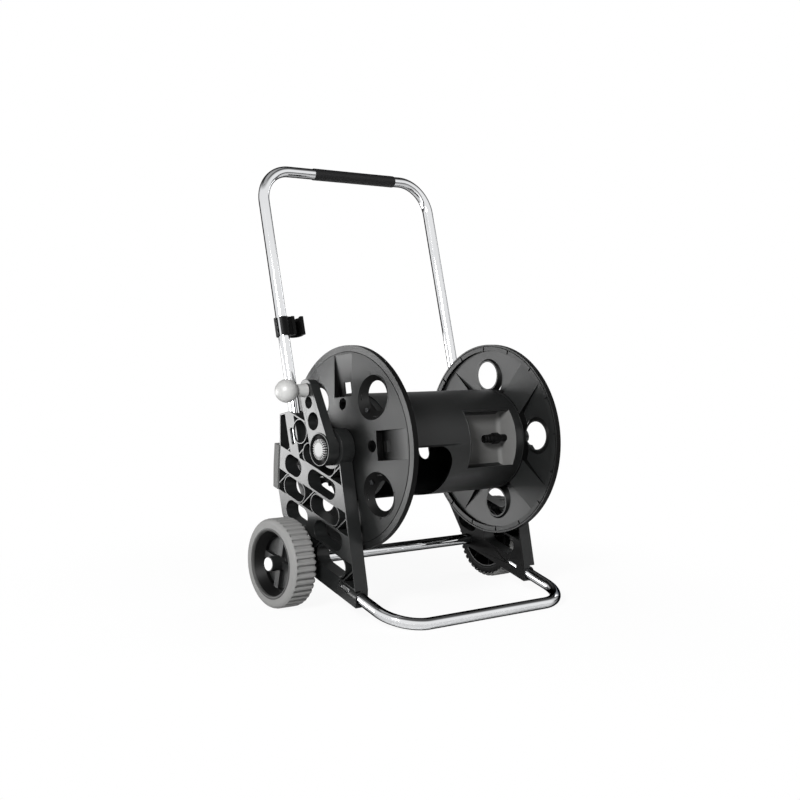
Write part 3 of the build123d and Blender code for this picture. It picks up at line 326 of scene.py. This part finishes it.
# refractive indices: polypropylene 1.49, vinyl and rubber 1.52, polyethylene and ABS 1.5, acetal 1.48
# a mould grain of about 0.4 mm is drawn at 1 mm so that it still shows at this distance
mattBlack = {
    "dark": "#0f1010", "light": "#161717", "mottleMm": 60, "grain": 0.30, "rough": 0.48, "sheen": 0.43,
}
# painted shade: a pocket's floor darkens towards its deep end, and the dish darkens towards the hub
flangeShade = {
    "sunk": (0.1634, 0.1664), "sunkLevel": 0.10,    # metres from the middle over which a pocket goes dark
    "outward": 0.5,                                 # least share of X in the normal of an outward face
    "hub": (0.036, 0.085), "hubLevel": 0.25,        # metres from the axis over which the dish goes dark
}
finishes = {
    # smooth black polypropylene of the lattice: deep black walls with a clear grey sheen on the flats
    "black_plastic": mouldedPlastic("blackPolypropylene", {
        "dark": "#161717", "light": "#1e1f1f", "mottleMm": 40, "grainMm": 1.2, "grain": 0.15, "rough": 0.30,
        "sheen": 0.34}),
    # the same plastic from a spark-eroded mould, as on the drum: the sheen spreads to a soft grey
    "matt_black": mouldedPlastic("mattBlackPolypropylene", mattBlack),
    # the flanges' own: as above, with painted shade at the deep ends of their pockets and on the dish round
    # the hub
    "flange_black": mouldedPlastic("shadedBlackPolypropylene", {**mattBlack, "shade": flangeShade}),
    # the same plastic darker and with little sheen, close to plain black: the clip and the connector wear it
    # whole, the tyres' inner sides and the cap's gaps take it, and on the flanges' walls and funnels, the
    # barrel's ends, the panels' inner sides, the wheels' wells and the cup's ribs it is painted shade
    "deep_black": mouldedPlastic("deepBlackPolypropylene", {
        "dark": "#060606", "light": "#0b0b0b", "mottleMm": 30, "grain": 0.25, "rough": 0.45, "sheen": 0.08}),
    # the tray's floor and ends: a dull mid grey that is painted light, where the tray's black plastic is lit
    "tray_plastic": mouldedPlastic("trayPaintedLightGrey", {
        "dark": "#5c5c5b", "light": "#666665", "mottleMm": 35, "grain": 0.25, "rough": 0.60, "sheen": 0.3}),
    # black polypropylene of the wheel's outer bead, painted a charcoal grey as the light on its lip: painted
    # light
    "bead_painted_light": mouldedPlastic("beadPaintedLightPolypropylene", {
        "dark": "#303030", "light": "#3a3a39", "mottleMm": 15, "grain": 0.25, "rough": 0.58, "sheen": 0.25}),
    # soft vinyl sleeve: near black, with a broad dull highlight
    "grip_plastic": mouldedPlastic("softBlackVinyl", {
        "dark": "#080809", "light": "#0c0c0d", "mottleMm": 25, "grain": 0.30, "rough": 0.55, "ior": 1.52,
        "sheen": 0.3}),
    # light grey polypropylene of the knob: satin, with a soft highlight
    "grey_plastic": mouldedPlastic("greyPolypropylene", {
        "dark": "#a0a09f", "light": "#aaaaa9", "mottleMm": 30, "grainMm": 1.2, "grain": 0.12, "rough": 0.38}),
    # grey tyre compound: matt, a little uneven where it has been handled
    "grey_tyre": mouldedPlastic("greyTyreRubber", {
        "dark": "#787877", "light": "#838382", "mottleMm": 20, "grain": 0.30, "rough": 0.62, "ior": 1.52,
        "sheen": 0.1}),
    # glossy white polyethylene plug on the axle end: bright, with a clear highlight
    "white_cap": mouldedPlastic("whitePolyethylene", {
        "dark": "#e0e0e0", "light": "#eaeaea", "mottleMm": 15, "grain": 0.08, "rough": 0.30, "ior": 1.5}),
    # silver-grey ABS of the crank cap, its teeth catching the light
    "cap_plastic": mouldedPlastic("silverGreyCap", {
        "dark": "#8e8e8e", "light": "#989898", "mottleMm": 10, "grainMm": 0.9, "grain": 0.1, "rough": 0.42,
        "ior": 1.5, "sheen": 0.3}),
    # the knob's plastic from a rough mould, as on the pads: a dull mid grey without a highlight
    "matt_grey": mouldedPlastic("mattGreyPolypropylene", {
        "dark": "#656564", "light": "#6f6f6e", "mottleMm": 20, "grain": 0.2, "rough": 0.65, "sheen": 0.1}),
    # natural acetal, milky and slightly warm
    "bush_plastic": mouldedPlastic("naturalAcetal", {
        "dark": "#c4c3bd", "light": "#cecdc7", "mottleMm": 15, "grain": 0.1, "rough": 0.35, "ior": 1.48}),
    # nitrile rubber rings: black and dull
    "seal_rubber": mouldedPlastic("blackNitrileRubber", {
        "dark": "#0e0e0e", "light": "#141414", "mottleMm": 8, "grainMm": 0.8, "grain": 0.2, "rough": 0.55,
        "ior": 1.52}),
    # bright chrome over drawn steel tube: a clean mirror, a touch cloudy along the run, with painted dark
    # outlines
    "chromed_tube": platedSteel("chromedSteelTube", {
        "dark": "#dcdddf", "light": "#e8e9ea", "cloudMm": 60, "rough": 0.06, "edge": (0.35, 0.60),
        "edgeLevel": 0.15}),
    # zinc-plated fasteners: pale, soft and spangled
    "steel": platedSteel("zincPlatedSteel", {
        "dark": "#a9abae", "light": "#bfc1c3", "cloudMm": 6, "rough": 0.32}),
    # screws in the drum are blackened over the zinc: dark, with a soft oily glint
    "dark_steel": platedSteel("blackenedSteel", {
        "dark": "#2a2b2c", "light": "#343536", "cloudMm": 6, "rough": 0.40}),
}
# nodes whose finish isn't the one that their slot names
otherFinish = {
    "left_flange": "flange_black", "right_flange": "flange_black", "drum_barrel": "matt_black",
    "left_rear_pad": "matt_grey", "right_rear_pad": "matt_grey", "drum_screws": "dark_steel",
    "hose_clip": "deep_black", "hose_connector": "deep_black",
    "left_wheel_rim": "matt_black", "right_wheel_rim": "matt_black",
}
finishOf = {n: finishes[otherFinish.get(n, slot)] for n, slot in slotOf.items()}
for name, obj in nodes.items():
    obj.data.materials.clear()
    obj.data.materials.append(finishOf[name])
print("finishes on the nodes")

shellWeld = 1e-7     # metres within which a new shell's points become one
detailSharp = 35     # degrees past which an edge of a small detail stays sharp


def weldMesh(mesh, reach, turnOut):
    # points within the reach become one, and a new shell's faces are turned outwards
    work = bmesh.new()
    work.from_mesh(mesh)
    bmesh.ops.remove_doubles(work, verts=work.verts, dist=reach)
    if turnOut:
        bmesh.ops.recalc_face_normals(work, faces=work.faces)
    work.to_mesh(mesh)
    work.free()


def meshFromGrid(name, grid, closed=False, caps=False):
    # an (m, n, 3) grid of points becomes quads: rows run along the path, columns close round the ring
    m, n = grid.shape[:2]
    index = np.arange(m * n).reshape(m, n)
    base = index if closed else index[:-1]
    ahead = np.roll(index, -1, 0) if closed else index[1:]
    quads = np.stack([base, np.roll(base, -1, 1), np.roll(ahead, -1, 1), ahead], -1)
    faces = quads.reshape(-1, 4).tolist()
    if caps:
        faces += [index[0, ::-1].tolist(), index[-1].tolist()]
    mesh = bpy.data.meshes.new(name)
    mesh.from_pydata(grid.reshape(-1, 3).tolist(), [], faces)
    weldMesh(mesh, shellWeld, True)
    return mesh


def showMesh(name, mesh, finish, sharp):
    # a mesh becomes a smooth object in the scene, with its edges past so many degrees left sharp
    piece = bpy.data.objects.new(name, mesh)
    scene.collection.objects.link(piece)
    mesh.materials.append(finish)
    mesh.shade_smooth()
    if sharp is not None:
        mesh.set_sharp_from_angle(angle=math.radians(sharp))
    return piece


def addPiece(name, mesh, node, sharp):
    # put a mesh in the scene in place of a CAD node, on that node's body and with its finish
    piece = showMesh(name, mesh, finishOf[node], sharp)
    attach(piece, bodyOf[node])
    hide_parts(node)
    return piece


def addDetail(name, mesh, body, finish):
    # put a small mesh in the scene that no CAD node stands for
    piece = showMesh(name, mesh, finishes[finish], detailSharp)
    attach(piece, body)


def paintFaces(piece, finish, rule):
    # a second finish on the faces that a rule picks from all the centres and normals
    faces = piece.data.polygons
    centre, normal = np.empty(3 * len(faces)), np.empty(3 * len(faces))
    faces.foreach_get("center", centre)
    faces.foreach_get("normal", normal)
    piece.data.materials.append(finishes[finish])
    picked = rule(centre.reshape(-1, 3), normal.reshape(-1, 3))
    faces.foreach_set("material_index", picked.astype(np.int32))


def fromAxis(centre, axis):
    # distance of every face from a line along X
    return np.hypot(centre[:, 1] - axis[0], centre[:, 2] - axis[1])


def roundedPath(points, radius, steps):
    # straight runs joined by circular bends: at each corner an arc tangent to both runs
    pts = np.array(points, float)
    path = [pts[0]]
    for a, b, c in zip(pts[:-2], pts[1:-1], pts[2:]):
        into, out = (a - b) / np.linalg.norm(a - b), (c - b) / np.linalg.norm(c - b)
        half = math.acos(np.clip(into @ out, -1, 1)) / 2
        middle = b + (into + out) / np.linalg.norm(into + out) * radius / math.sin(half)
        start, end = b + into * radius / math.tan(half), b + out * radius / math.tan(half)
        u, w = (start - middle) / radius, (end - middle) / radius
        sweep = math.acos(np.clip(u @ w, -1, 1))
        t = np.linspace(0, 1, steps)[:, None]
        path.extend(middle + radius * (np.sin((1 - t) * sweep) * u + np.sin(t * sweep) * w) / math.sin(sweep))
    path.append(pts[-1])
    return np.array(path)


def tubeGrid(path, radius, count, flat):
    # a circle carried along a planar path: each ring lies across the run, turned to the flat's normal
    along = np.gradient(path, axis=0)
    along /= np.linalg.norm(along, axis=1)[:, None]
    side = np.broadcast_to(np.array(flat, float) / np.linalg.norm(flat), along.shape)
    other = np.cross(along, side)
    a = np.linspace(0, 2 * math.pi, count, endpoint=False)
    ring = np.cos(a)[None, :, None] * side[:, None] + np.sin(a)[None, :, None] * other[:, None]
    return path[:, None] + radius * ring


def turnedGrid(profile, axis, count):
    # an (x, r) profile turned about a line along X through the axis's y and z
    p = np.array(profile, float)
    a = np.linspace(0, 2 * math.pi, count, endpoint=False)
    x = np.broadcast_to(p[:, :1], (len(p), count))
    return np.stack([x, axis[0] + p[:, 1:] * np.cos(a), axis[1] + p[:, 1:] * np.sin(a)], -1)


def arcPoints(centre, radius, start, end, steps):
    # (x, r) points of a circular arc between two angles in degrees
    a = np.radians(np.linspace(start, end, steps))
    return list(zip(centre[0] + radius * np.cos(a), centre[1] + radius * np.sin(a)))


def softSquare(phase, bias, steep):
    # a square wave with rounded steps: the logistic of a cosine, near 1 where the cosine is low
    return 1 / (1 + np.exp((np.cos(phase) + bias) * steep))


tubes = {
    "radius": 0.00999, "bend": 0.062, "sides": 48, "bendSteps": 28, "sharp": 60,
    "bent": (
        # name, node, and the start and the corner of the run on the right
        ("handleTubeSkin", "handle_tube", (tubeSide, 0.07254, 0.26348), (tubeSide, *handleTop)),
        ("baseTubeSkin", "foot_tube", (tubeSide, 0.03124, 0.07427), (tubeSide, -0.21904, 0.010)),
    ),
}


def makeTube(name, node, path, flat, t):
    grid = tubeGrid(np.array(path), t["radius"], t["sides"], flat)
    addPiece(name, meshFromGrid(name, grid, caps=True), node, t["sharp"])


def makeTubes(t):
    # two bows, each mirrored about the middle plane, and the straight axle
    mirror = np.array((-1, 1, 1))
    for name, node, start, corner in t["bent"]:
        start, corner = np.array(start), np.array(corner)
        path = roundedPath([start * mirror, corner * mirror, corner, start], t["bend"], t["bendSteps"])
        makeTube(name, node, path, np.cross(corner - start, (1, 0, 0)), t)
    makeTube("axleTubeSkin", "axle_tube", [(x, *wheelAxis) for x in (-axleEnd, 0, axleEnd)], (0, 0, 1), t)


makeTubes(tubes)
print("tubes made")

tyre = {
    "outer": 0.07748, "inner": 0.05845, "face": 0.272, "back": 0.225, "round": 0.008, "lip": 0.0016,
    "wallSteps": 6, "roundSteps": 12, "treadSteps": 26, "backSteps": 4, "sharp": 50,
    "lugs": 42, "perLug": 16, "depth": 0.0042, "bias": 0.12, "steep": 6,
    "shoulder": 0.0045, "soften": 0.004,    # how far from the face the lugs start, and over what length
    "rise": (0.003, 0.006),                 # the same for the radius, from below the shoulder's round
    "overlap": (0.0012, 0.0055),            # the wheel's moulding: how deep, and how far below the tread
}


def onTyreBack(centre, normal):
    # the black wheel is moulded over the tyre's inner side
    deep, below = tyre["overlap"]
    under = fromAxis(centre, wheelAxis) < tyre["outer"] - below
    return (np.abs(centre[:, 0]) < tyre["back"] + deep) & under


def makeTyre(name, node, sign, t):
    # a rounded section turned about the axle; lugs are a softened square wave round it, faded at the shoulder
    r, mid, lip = t["round"], t["outer"] - t["round"], t["lip"]
    face, back, inner = t["face"], t["back"], t["inner"]
    section = [(back, inner + lip), (back + lip, inner), (face - lip, inner), (face, inner + lip)]
    section += [(face, q) for q in np.linspace(inner + 2 * lip, mid, t["wallSteps"])]
    section += arcPoints((face - r, mid), r, 0, 90, t["roundSteps"])[1:]
    section += [(x, t["outer"]) for x in np.linspace(face - r, back + r, t["treadSteps"])[1:]]
    section += arcPoints((back + r, mid), r, 90, 180, t["roundSteps"])[1:]
    section += [(back, q) for q in np.linspace(mid, inner + 2 * lip, t["backSteps"])[1:]]
    x, y, z = np.moveaxis(turnedGrid(section, (0, 0), t["lugs"] * t["perLug"]), -1, 0)
    radius, angle = np.hypot(y, z), np.arctan2(z, y)
    groove = softSquare(angle * t["lugs"], t["bias"], t["steep"])
    tread = np.clip((face - t["shoulder"] - x) / t["soften"], 0, 1)
    high = np.clip((radius - mid + t["rise"][0]) / t["rise"][1], 0, 1)
    cut = t["depth"] * groove * tread * tread * (3 - 2 * tread) * high
    scale = (radius - cut) / radius
    grid = np.stack([sign * x, wheelAxis[0] + y * scale, wheelAxis[1] + z * scale], -1)
    piece = addPiece(name, meshFromGrid(name, grid, closed=True), node, t["sharp"])
    paintFaces(piece, "deep_black", onTyreBack)


for side, sign in sides:
    makeTyre(side + "TyreLugged", side + "_tyre", sign, tyre)

rimLip = {"middle": (0.2688, 0.0594), "radius": 0.0038, "steps": 24, "sides": 120}


def makeRimLip(name, body, sign, lip):
    # a round bead where the wheel laps over the tyre: a small circle turned about the axle
    section = arcPoints(lip["middle"], lip["radius"], 0, 360, lip["steps"] + 1)[:-1]
    grid = turnedGrid([(sign * x, r) for x, r in section], wheelAxis, lip["sides"])
    # the bead's grey is painted light
    addDetail(name, meshFromGrid(name, grid, closed=True), body, "bead_painted_light")


for side, sign in sides:
    makeRimLip(side + "RimLip", side + "_wheel", sign, rimLip)

axleCap = {
    "radius": 0.0115, "edge": 0.0012, "rise": 0.0018, "crown": 0.003, "plug": 0.00875, "plugDepth": 0.012,
    "edgeSteps": 6, "domeSteps": 8, "sides": 48, "sharp": 40,
}


def makeAxleCap(name, node, sign, c):
    # a plug with a domed head: the head's height falls with the square of the radius, down to a rounded rim
    s, r, e = axleEnd, c["radius"], c["edge"]
    rim = arcPoints((s + e, r - e), e, 90, 30, c["edgeSteps"])
    reach = rim[-1][1]
    dome = [(s + c["rise"] + (c["crown"] - c["rise"]) * (1 - (q / reach) ** 2), q)
            for q in np.linspace(reach, 0, c["domeSteps"])[1:]]
    profile = [(s - c["plugDepth"], 0), (s - c["plugDepth"], c["plug"]), (s, c["plug"]), (s, r)] + rim + dome
    grid = turnedGrid([(sign * x, q) for x, q in profile], wheelAxis, c["sides"])
    addPiece(name, meshFromGrid(name, grid), node, c["sharp"])


for side, sign in sides:
    makeAxleCap(side + "AxleCapDomed", side + "_axle_cap", sign, axleCap)
print("wheels made")

knob = {
    "axis": (0.01006, 0.37762), "foot": 0.2283, "ball": 0.2663, "radius": 0.020, "neck": 0.0105,
    "blend": 0.0055, "flare": 0.0120, "flarePower": 0.7, "edge": 0.0008, "rise": 0.0012,
    "bore": 0.0051, "pastBall": 0.004,    # the hole for the pin ends this far past the ball's middle
    "edgeSteps": 5, "neckSteps": 8, "blendSteps": 10, "ballSteps": 40, "sides": 64, "sharp": 50,
}


def makeKnob(k):
    # a ball on a neck: the neck flares to its foot and runs into the ball through a hollow round
    ball, neck, blend = k["radius"], k["neck"], k["blend"]
    foot, flare, e, end = k["foot"], k["flare"], k["edge"], k["ball"] + k["pastBall"]
    gap = math.sqrt((ball + blend) ** 2 - (neck + blend) ** 2)
    waist = k["ball"] - gap
    lean = math.degrees(math.atan2(neck + blend, gap))
    along = np.linspace(foot + k["rise"], waist, k["neckSteps"])
    taper = np.linspace(0, 1, k["neckSteps"]) ** k["flarePower"]
    profile = [(end, 0.0), (end, k["bore"]), (foot, k["bore"]), (foot, flare - e)]
    profile += arcPoints((foot + e, flare - e), e, 180, 90, k["edgeSteps"])[1:]
    profile += list(zip(along, flare + (neck - flare) * taper))
    profile += arcPoints((waist, neck + blend), blend, 270, 360 - lean, k["blendSteps"])[1:]
    profile += arcPoints((k["ball"], 0), ball, 180 - lean, 0, k["ballSteps"])[1:]
    grid = turnedGrid([(-x, r) for x, r in profile], k["axis"], k["sides"])
    addPiece("crankKnobBall", meshFromGrid("crankKnobBall", grid), "crank_knob", k["sharp"])


makeKnob(knob)

grip = {
    "middle": 0.020, "length": 0.189, "radius": 0.01116, "bore": 0.01005, "edge": 0.0009, "waist": 0.012,
    "steps": 24, "edgeSteps": 6, "sides": 48, "sharp": 50,
}


def makeGrip(g):
    # a thin sleeve with rounded ends, whose radius has a very slight waist of half a sine
    a, b, e = g["middle"] - g["length"] / 2, g["middle"] + g["length"] / 2, g["edge"]
    along = np.linspace(a + e, b - e, g["steps"])
    waist = 1 - g["waist"] * np.sin(np.linspace(0, math.pi, g["steps"]))
    profile = [(a, g["bore"])] + arcPoints((a + e, g["radius"] - e), e, 180, 90, g["edgeSteps"])[:-1]
    profile += list(zip(along, g["radius"] * waist))
    profile += arcPoints((b - e, g["radius"] - e), e, 90, 0, g["edgeSteps"])[1:] + [(b, g["bore"])]
    mesh = meshFromGrid("handleGripSleeve", turnedGrid(profile, handleTop, g["sides"]), closed=True)
    addPiece("handleGripSleeve", mesh, "handle_grip", g["sharp"])


makeGrip(grip)

cap = {
    "floor": 0.2248, "face": 0.2310, "outer": 0.0175, "root": 0.0145, "land": 0.0020, "edge": 0.0005,
    "crown": 0.0005, "pocket": (0.00425, 0.00265), "edgeSteps": 6, "domeSteps": 14, "sharp": 40,
    "teeth": 24, "perTooth": 16, "bias": 0.1, "steep": 9,
    "fade": (0.0020, 0.0030),    # how far inside the root the gaps start, and over what length
    "disc": 0.0118,              # radius of the plain disc in the middle
}


def onCapGap(centre, normal):
    # the gaps between the teeth run in over the face as far as the plain disc in its middle
    angle = np.arctan2(centre[:, 2] - drumAxis[1], centre[:, 1] - drumAxis[0])
    return (fromAxis(centre, drumAxis) > cap["disc"]) & (np.cos(angle * cap["teeth"]) < 0)


def makeCap(c):
    # a domed disc whose radius follows a softened square wave of teeth, hollow below for the screw's head
    low, rim, e = c["floor"], c["face"] - c["crown"], c["edge"]
    hollow, deep = c["pocket"]
    wall = [(low, c["outer"]), (low + c["land"], c["outer"])]
    wall += arcPoints((rim - e, c["outer"] - e), e, 90, 0, c["edgeSteps"])
    reach = wall[-1][1]
    dome = [(rim + c["crown"] * (1 - (q / reach) ** 2), q) for q in np.linspace(reach, 0, c["domeSteps"])[1:]]
    profile = [(low + deep, 0), (low + deep, hollow), (low, hollow)] + wall + dome
    x, y, z = np.moveaxis(turnedGrid(profile, (0, 0), c["teeth"] * c["perTooth"]), -1, 0)
    radius, angle = np.hypot(y, z), np.arctan2(z, y)
    gap = softSquare(angle * c["teeth"], c["bias"], c["steep"])
    near = np.clip((radius - c["root"] + c["fade"][0]) / c["fade"][1], 0, 1)
    scale = 1 - gap * near * (c["outer"] - c["root"]) / c["outer"]
    grid = np.stack([-x, drumAxis[0] + y * scale, drumAxis[1] + z * scale], -1)
    piece = addPiece("crankCapToothed", meshFromGrid("crankCapToothed", grid), "crank_cap", c["sharp"])
    paintFaces(piece, "deep_black", onCapGap)


makeCap(cap)

cupRibs = {
    "inner": 0.0180, "outer": 0.0258, "least": 0.0002, "height": 0.0016, "ribs": 40, "perRib": 6, "steps": 5,
}


def makeCupRibs(c, floor):
    # a ring on the cup's floor whose height is a triangle wave round the hub, one ridge for each rib
    count = c["ribs"] * c["perRib"]
    lift = np.abs((np.arange(count) / c["perRib"]) % 1 * 2 - 1) * c["height"] + c["least"]
    top = [(1, r) for r in np.linspace(c["inner"], c["outer"], c["steps"])]
    grid = turnedGrid([(0, c["inner"])] + top + [(0, c["outer"])], drumAxis, count)
    grid[..., 0] = -(floor + grid[..., 0] * lift)
    mesh = meshFromGrid("crankCupRibs", grid, closed=True)
    # the ribs take the near-black as painted shade in the cup
    addDetail("crankCupRibs", mesh, "drum", "deep_black")


makeCupRibs(cupRibs, cap["floor"])
print("knob, grip and crank cap made")

# u runs forward and w up in the panels' plane, which falls to the front; both are taken from the drum's axis
skirt = {
    "fall": math.radians(14.4), "tubeW": -0.217, "bottomW": -0.230, "start": 0.085, "nose": (0.1377, 0.1411),
    "outer": 0.0128, "inner": 0.0123, "edge": 0.0006, "hollowSteps": 16, "edgeSteps": 5,
}


def makeSkirt(name, sign, s):
    # a prism along the foot tube: straight outside and below, hollow inside against the round sleeve
    low, e = s["bottomW"] - s["tubeW"], s["edge"]
    ring = [(s["outer"], 0)] + arcPoints((s["outer"] - e, low + e), e, 0, -90, s["edgeSteps"]) + [(0, low)]
    ring += arcPoints((0, 0), s["inner"], -90, 0, s["hollowSteps"])
    depth, w = np.array(ring).T
    nose = s["nose"][0] + (s["nose"][1] - s["nose"][0]) * w / low
    u = np.stack([np.full(len(w), s["start"]), nose])
    w = w + s["tubeW"]
    c, f = math.cos(s["fall"]), math.sin(s["fall"])
    y, z = drumAxis[0] - u * c - w * f, drumAxis[1] - u * f + w * c
    grid = np.stack([np.broadcast_to(sign * (tubeSide + depth), u.shape), y, z], -1)
    addDetail(name, meshFromGrid(name, grid, caps=True), "frame", "black_plastic")


for side, sign in sides:
    makeSkirt(side + "SleeveSkirt", sign, skirt)
print("sleeve skirts made")

softSet = {"weld": 1e-6, "segments": 2, "limit": 30}    # the limit is in degrees
softened = {
    # node: edge radius in millimetres
    "left_side_panel": 0.45, "right_side_panel": 0.45, "left_flange": 0.25, "right_flange": 0.25,
    "drum_barrel": 0.3, "connector_tray": 0.8, "crank_arm": 0.6, "hose_clip": 0.4,
    "left_rear_pad": 0.4, "right_rear_pad": 0.4, "left_wheel_rim": 0.6, "right_wheel_rim": 0.6,
    "inlet_elbow": 0.4, "hose_connector": 0.3, "left_drum_bush": 0.3, "right_drum_bush": 0.3,
}


def softenEdges(node, width, s):
    # the node's own faces merged at their seams, with every corner past the limit rounded off
    mesh = nodes[node].data.copy()
    mesh.name = node + "Soft"
    mesh.materials.clear()
    if "custom_normal" in mesh.attributes:
        mesh.attributes.remove(mesh.attributes["custom_normal"])
    weldMesh(mesh, s["weld"], False)
    first, *others = node.split("_")
    name = first + "".join(w.capitalize() for w in others) + "Moulded"
    piece = addPiece(name, mesh, node, None)
    bevel = piece.modifiers.new("softEdges", "BEVEL")
    bevel.width, bevel.segments, bevel.limit_method = width / mmPerMetre, s["segments"], "ANGLE"
    bevel.angle_limit = math.radians(s["limit"])
    bevel.use_clamp_overlap = False
    bevel.harden_normals = True
    return piece


moulded = {node: softenEdges(node, width, softSet) for node, width in softened.items()}

# which faces of the moulded pieces take another black, mostly as painted shade; a share is that of X in a
# face's normal
blacker = {
    "rimDepth": 0.0022,                           # the tray's rim lies in the barrel's skin
    "trayFacing": (0.0, -0.9898, 0.1426),
    "trayFloor": 0.93, "trayEnd": 0.25,           # least share of that direction, or of X, in what stays grey
    "wall": 0.40, "funnel": 0.86, "hub": 0.070,   # shares of flange walls and funnels, where funnels start
    "well": 0.044, "wellSlope": 0.80,             # where a wheel's well starts, and the share of its wall
    "innerSide": 0.5, "barrelEnd": 0.7,
}


def onTrayRim(centre, normal):
    # the tray's rim takes the barrel's finish; its long walls take it too as painted shade, its floor and
    # ends keep the grey of painted light
    low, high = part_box("drum_barrel")
    proud = fromAxis(centre, drumAxis) > (high[2] - low[2]) / 2 - blacker["rimDepth"]
    flat = normal @ np.array(blacker["trayFacing"]) > blacker["trayFloor"]
    return proud | ~(flat | (np.abs(normal[:, 0]) > blacker["trayEnd"]))


def onFlangeWall(centre, normal):
    # the walls of the pockets and the funnels round the holes, which lie in shade and read as plain black
    share, outside = np.abs(normal[:, 0]), fromAxis(centre, drumAxis) > blacker["hub"]
    return (share < blacker["wall"]) | ((share < blacker["funnel"]) & outside)


def onInnerSide(centre, normal):
    # the sides of the panels that face the drum, painted near-black as shade
    return normal[:, 0] * np.sign(centre[:, 0]) < -blacker["innerSide"]


def onBarrelEnd(centre, normal):
    # the ends of the barrel, seen only through the holes of the flanges, painted near-black as shade
    return np.abs(normal[:, 0]) > blacker["barrelEnd"]


def onWheelWell(centre, normal):
    # the sloping wall round the spokes, which lies in the tyre's shade
    sloping = np.abs(normal[:, 0]) < blacker["wellSlope"]
    return (fromAxis(centre, wheelAxis) > blacker["well"]) & sloping


for node, finish, rule in (
        ("left_wheel_rim", "deep_black", onWheelWell), ("right_wheel_rim", "deep_black", onWheelWell),
        ("connector_tray", "matt_black", onTrayRim), ("drum_barrel", "deep_black", onBarrelEnd),
        ("left_flange", "deep_black", onFlangeWall), ("right_flange", "deep_black", onFlangeWall),
        ("left_side_panel", "deep_black", onInnerSide), ("right_side_panel", "deep_black", onInnerSide)):
    paintFaces(moulded[node], finish, rule)
print("moulded pieces softened:", len(softened))
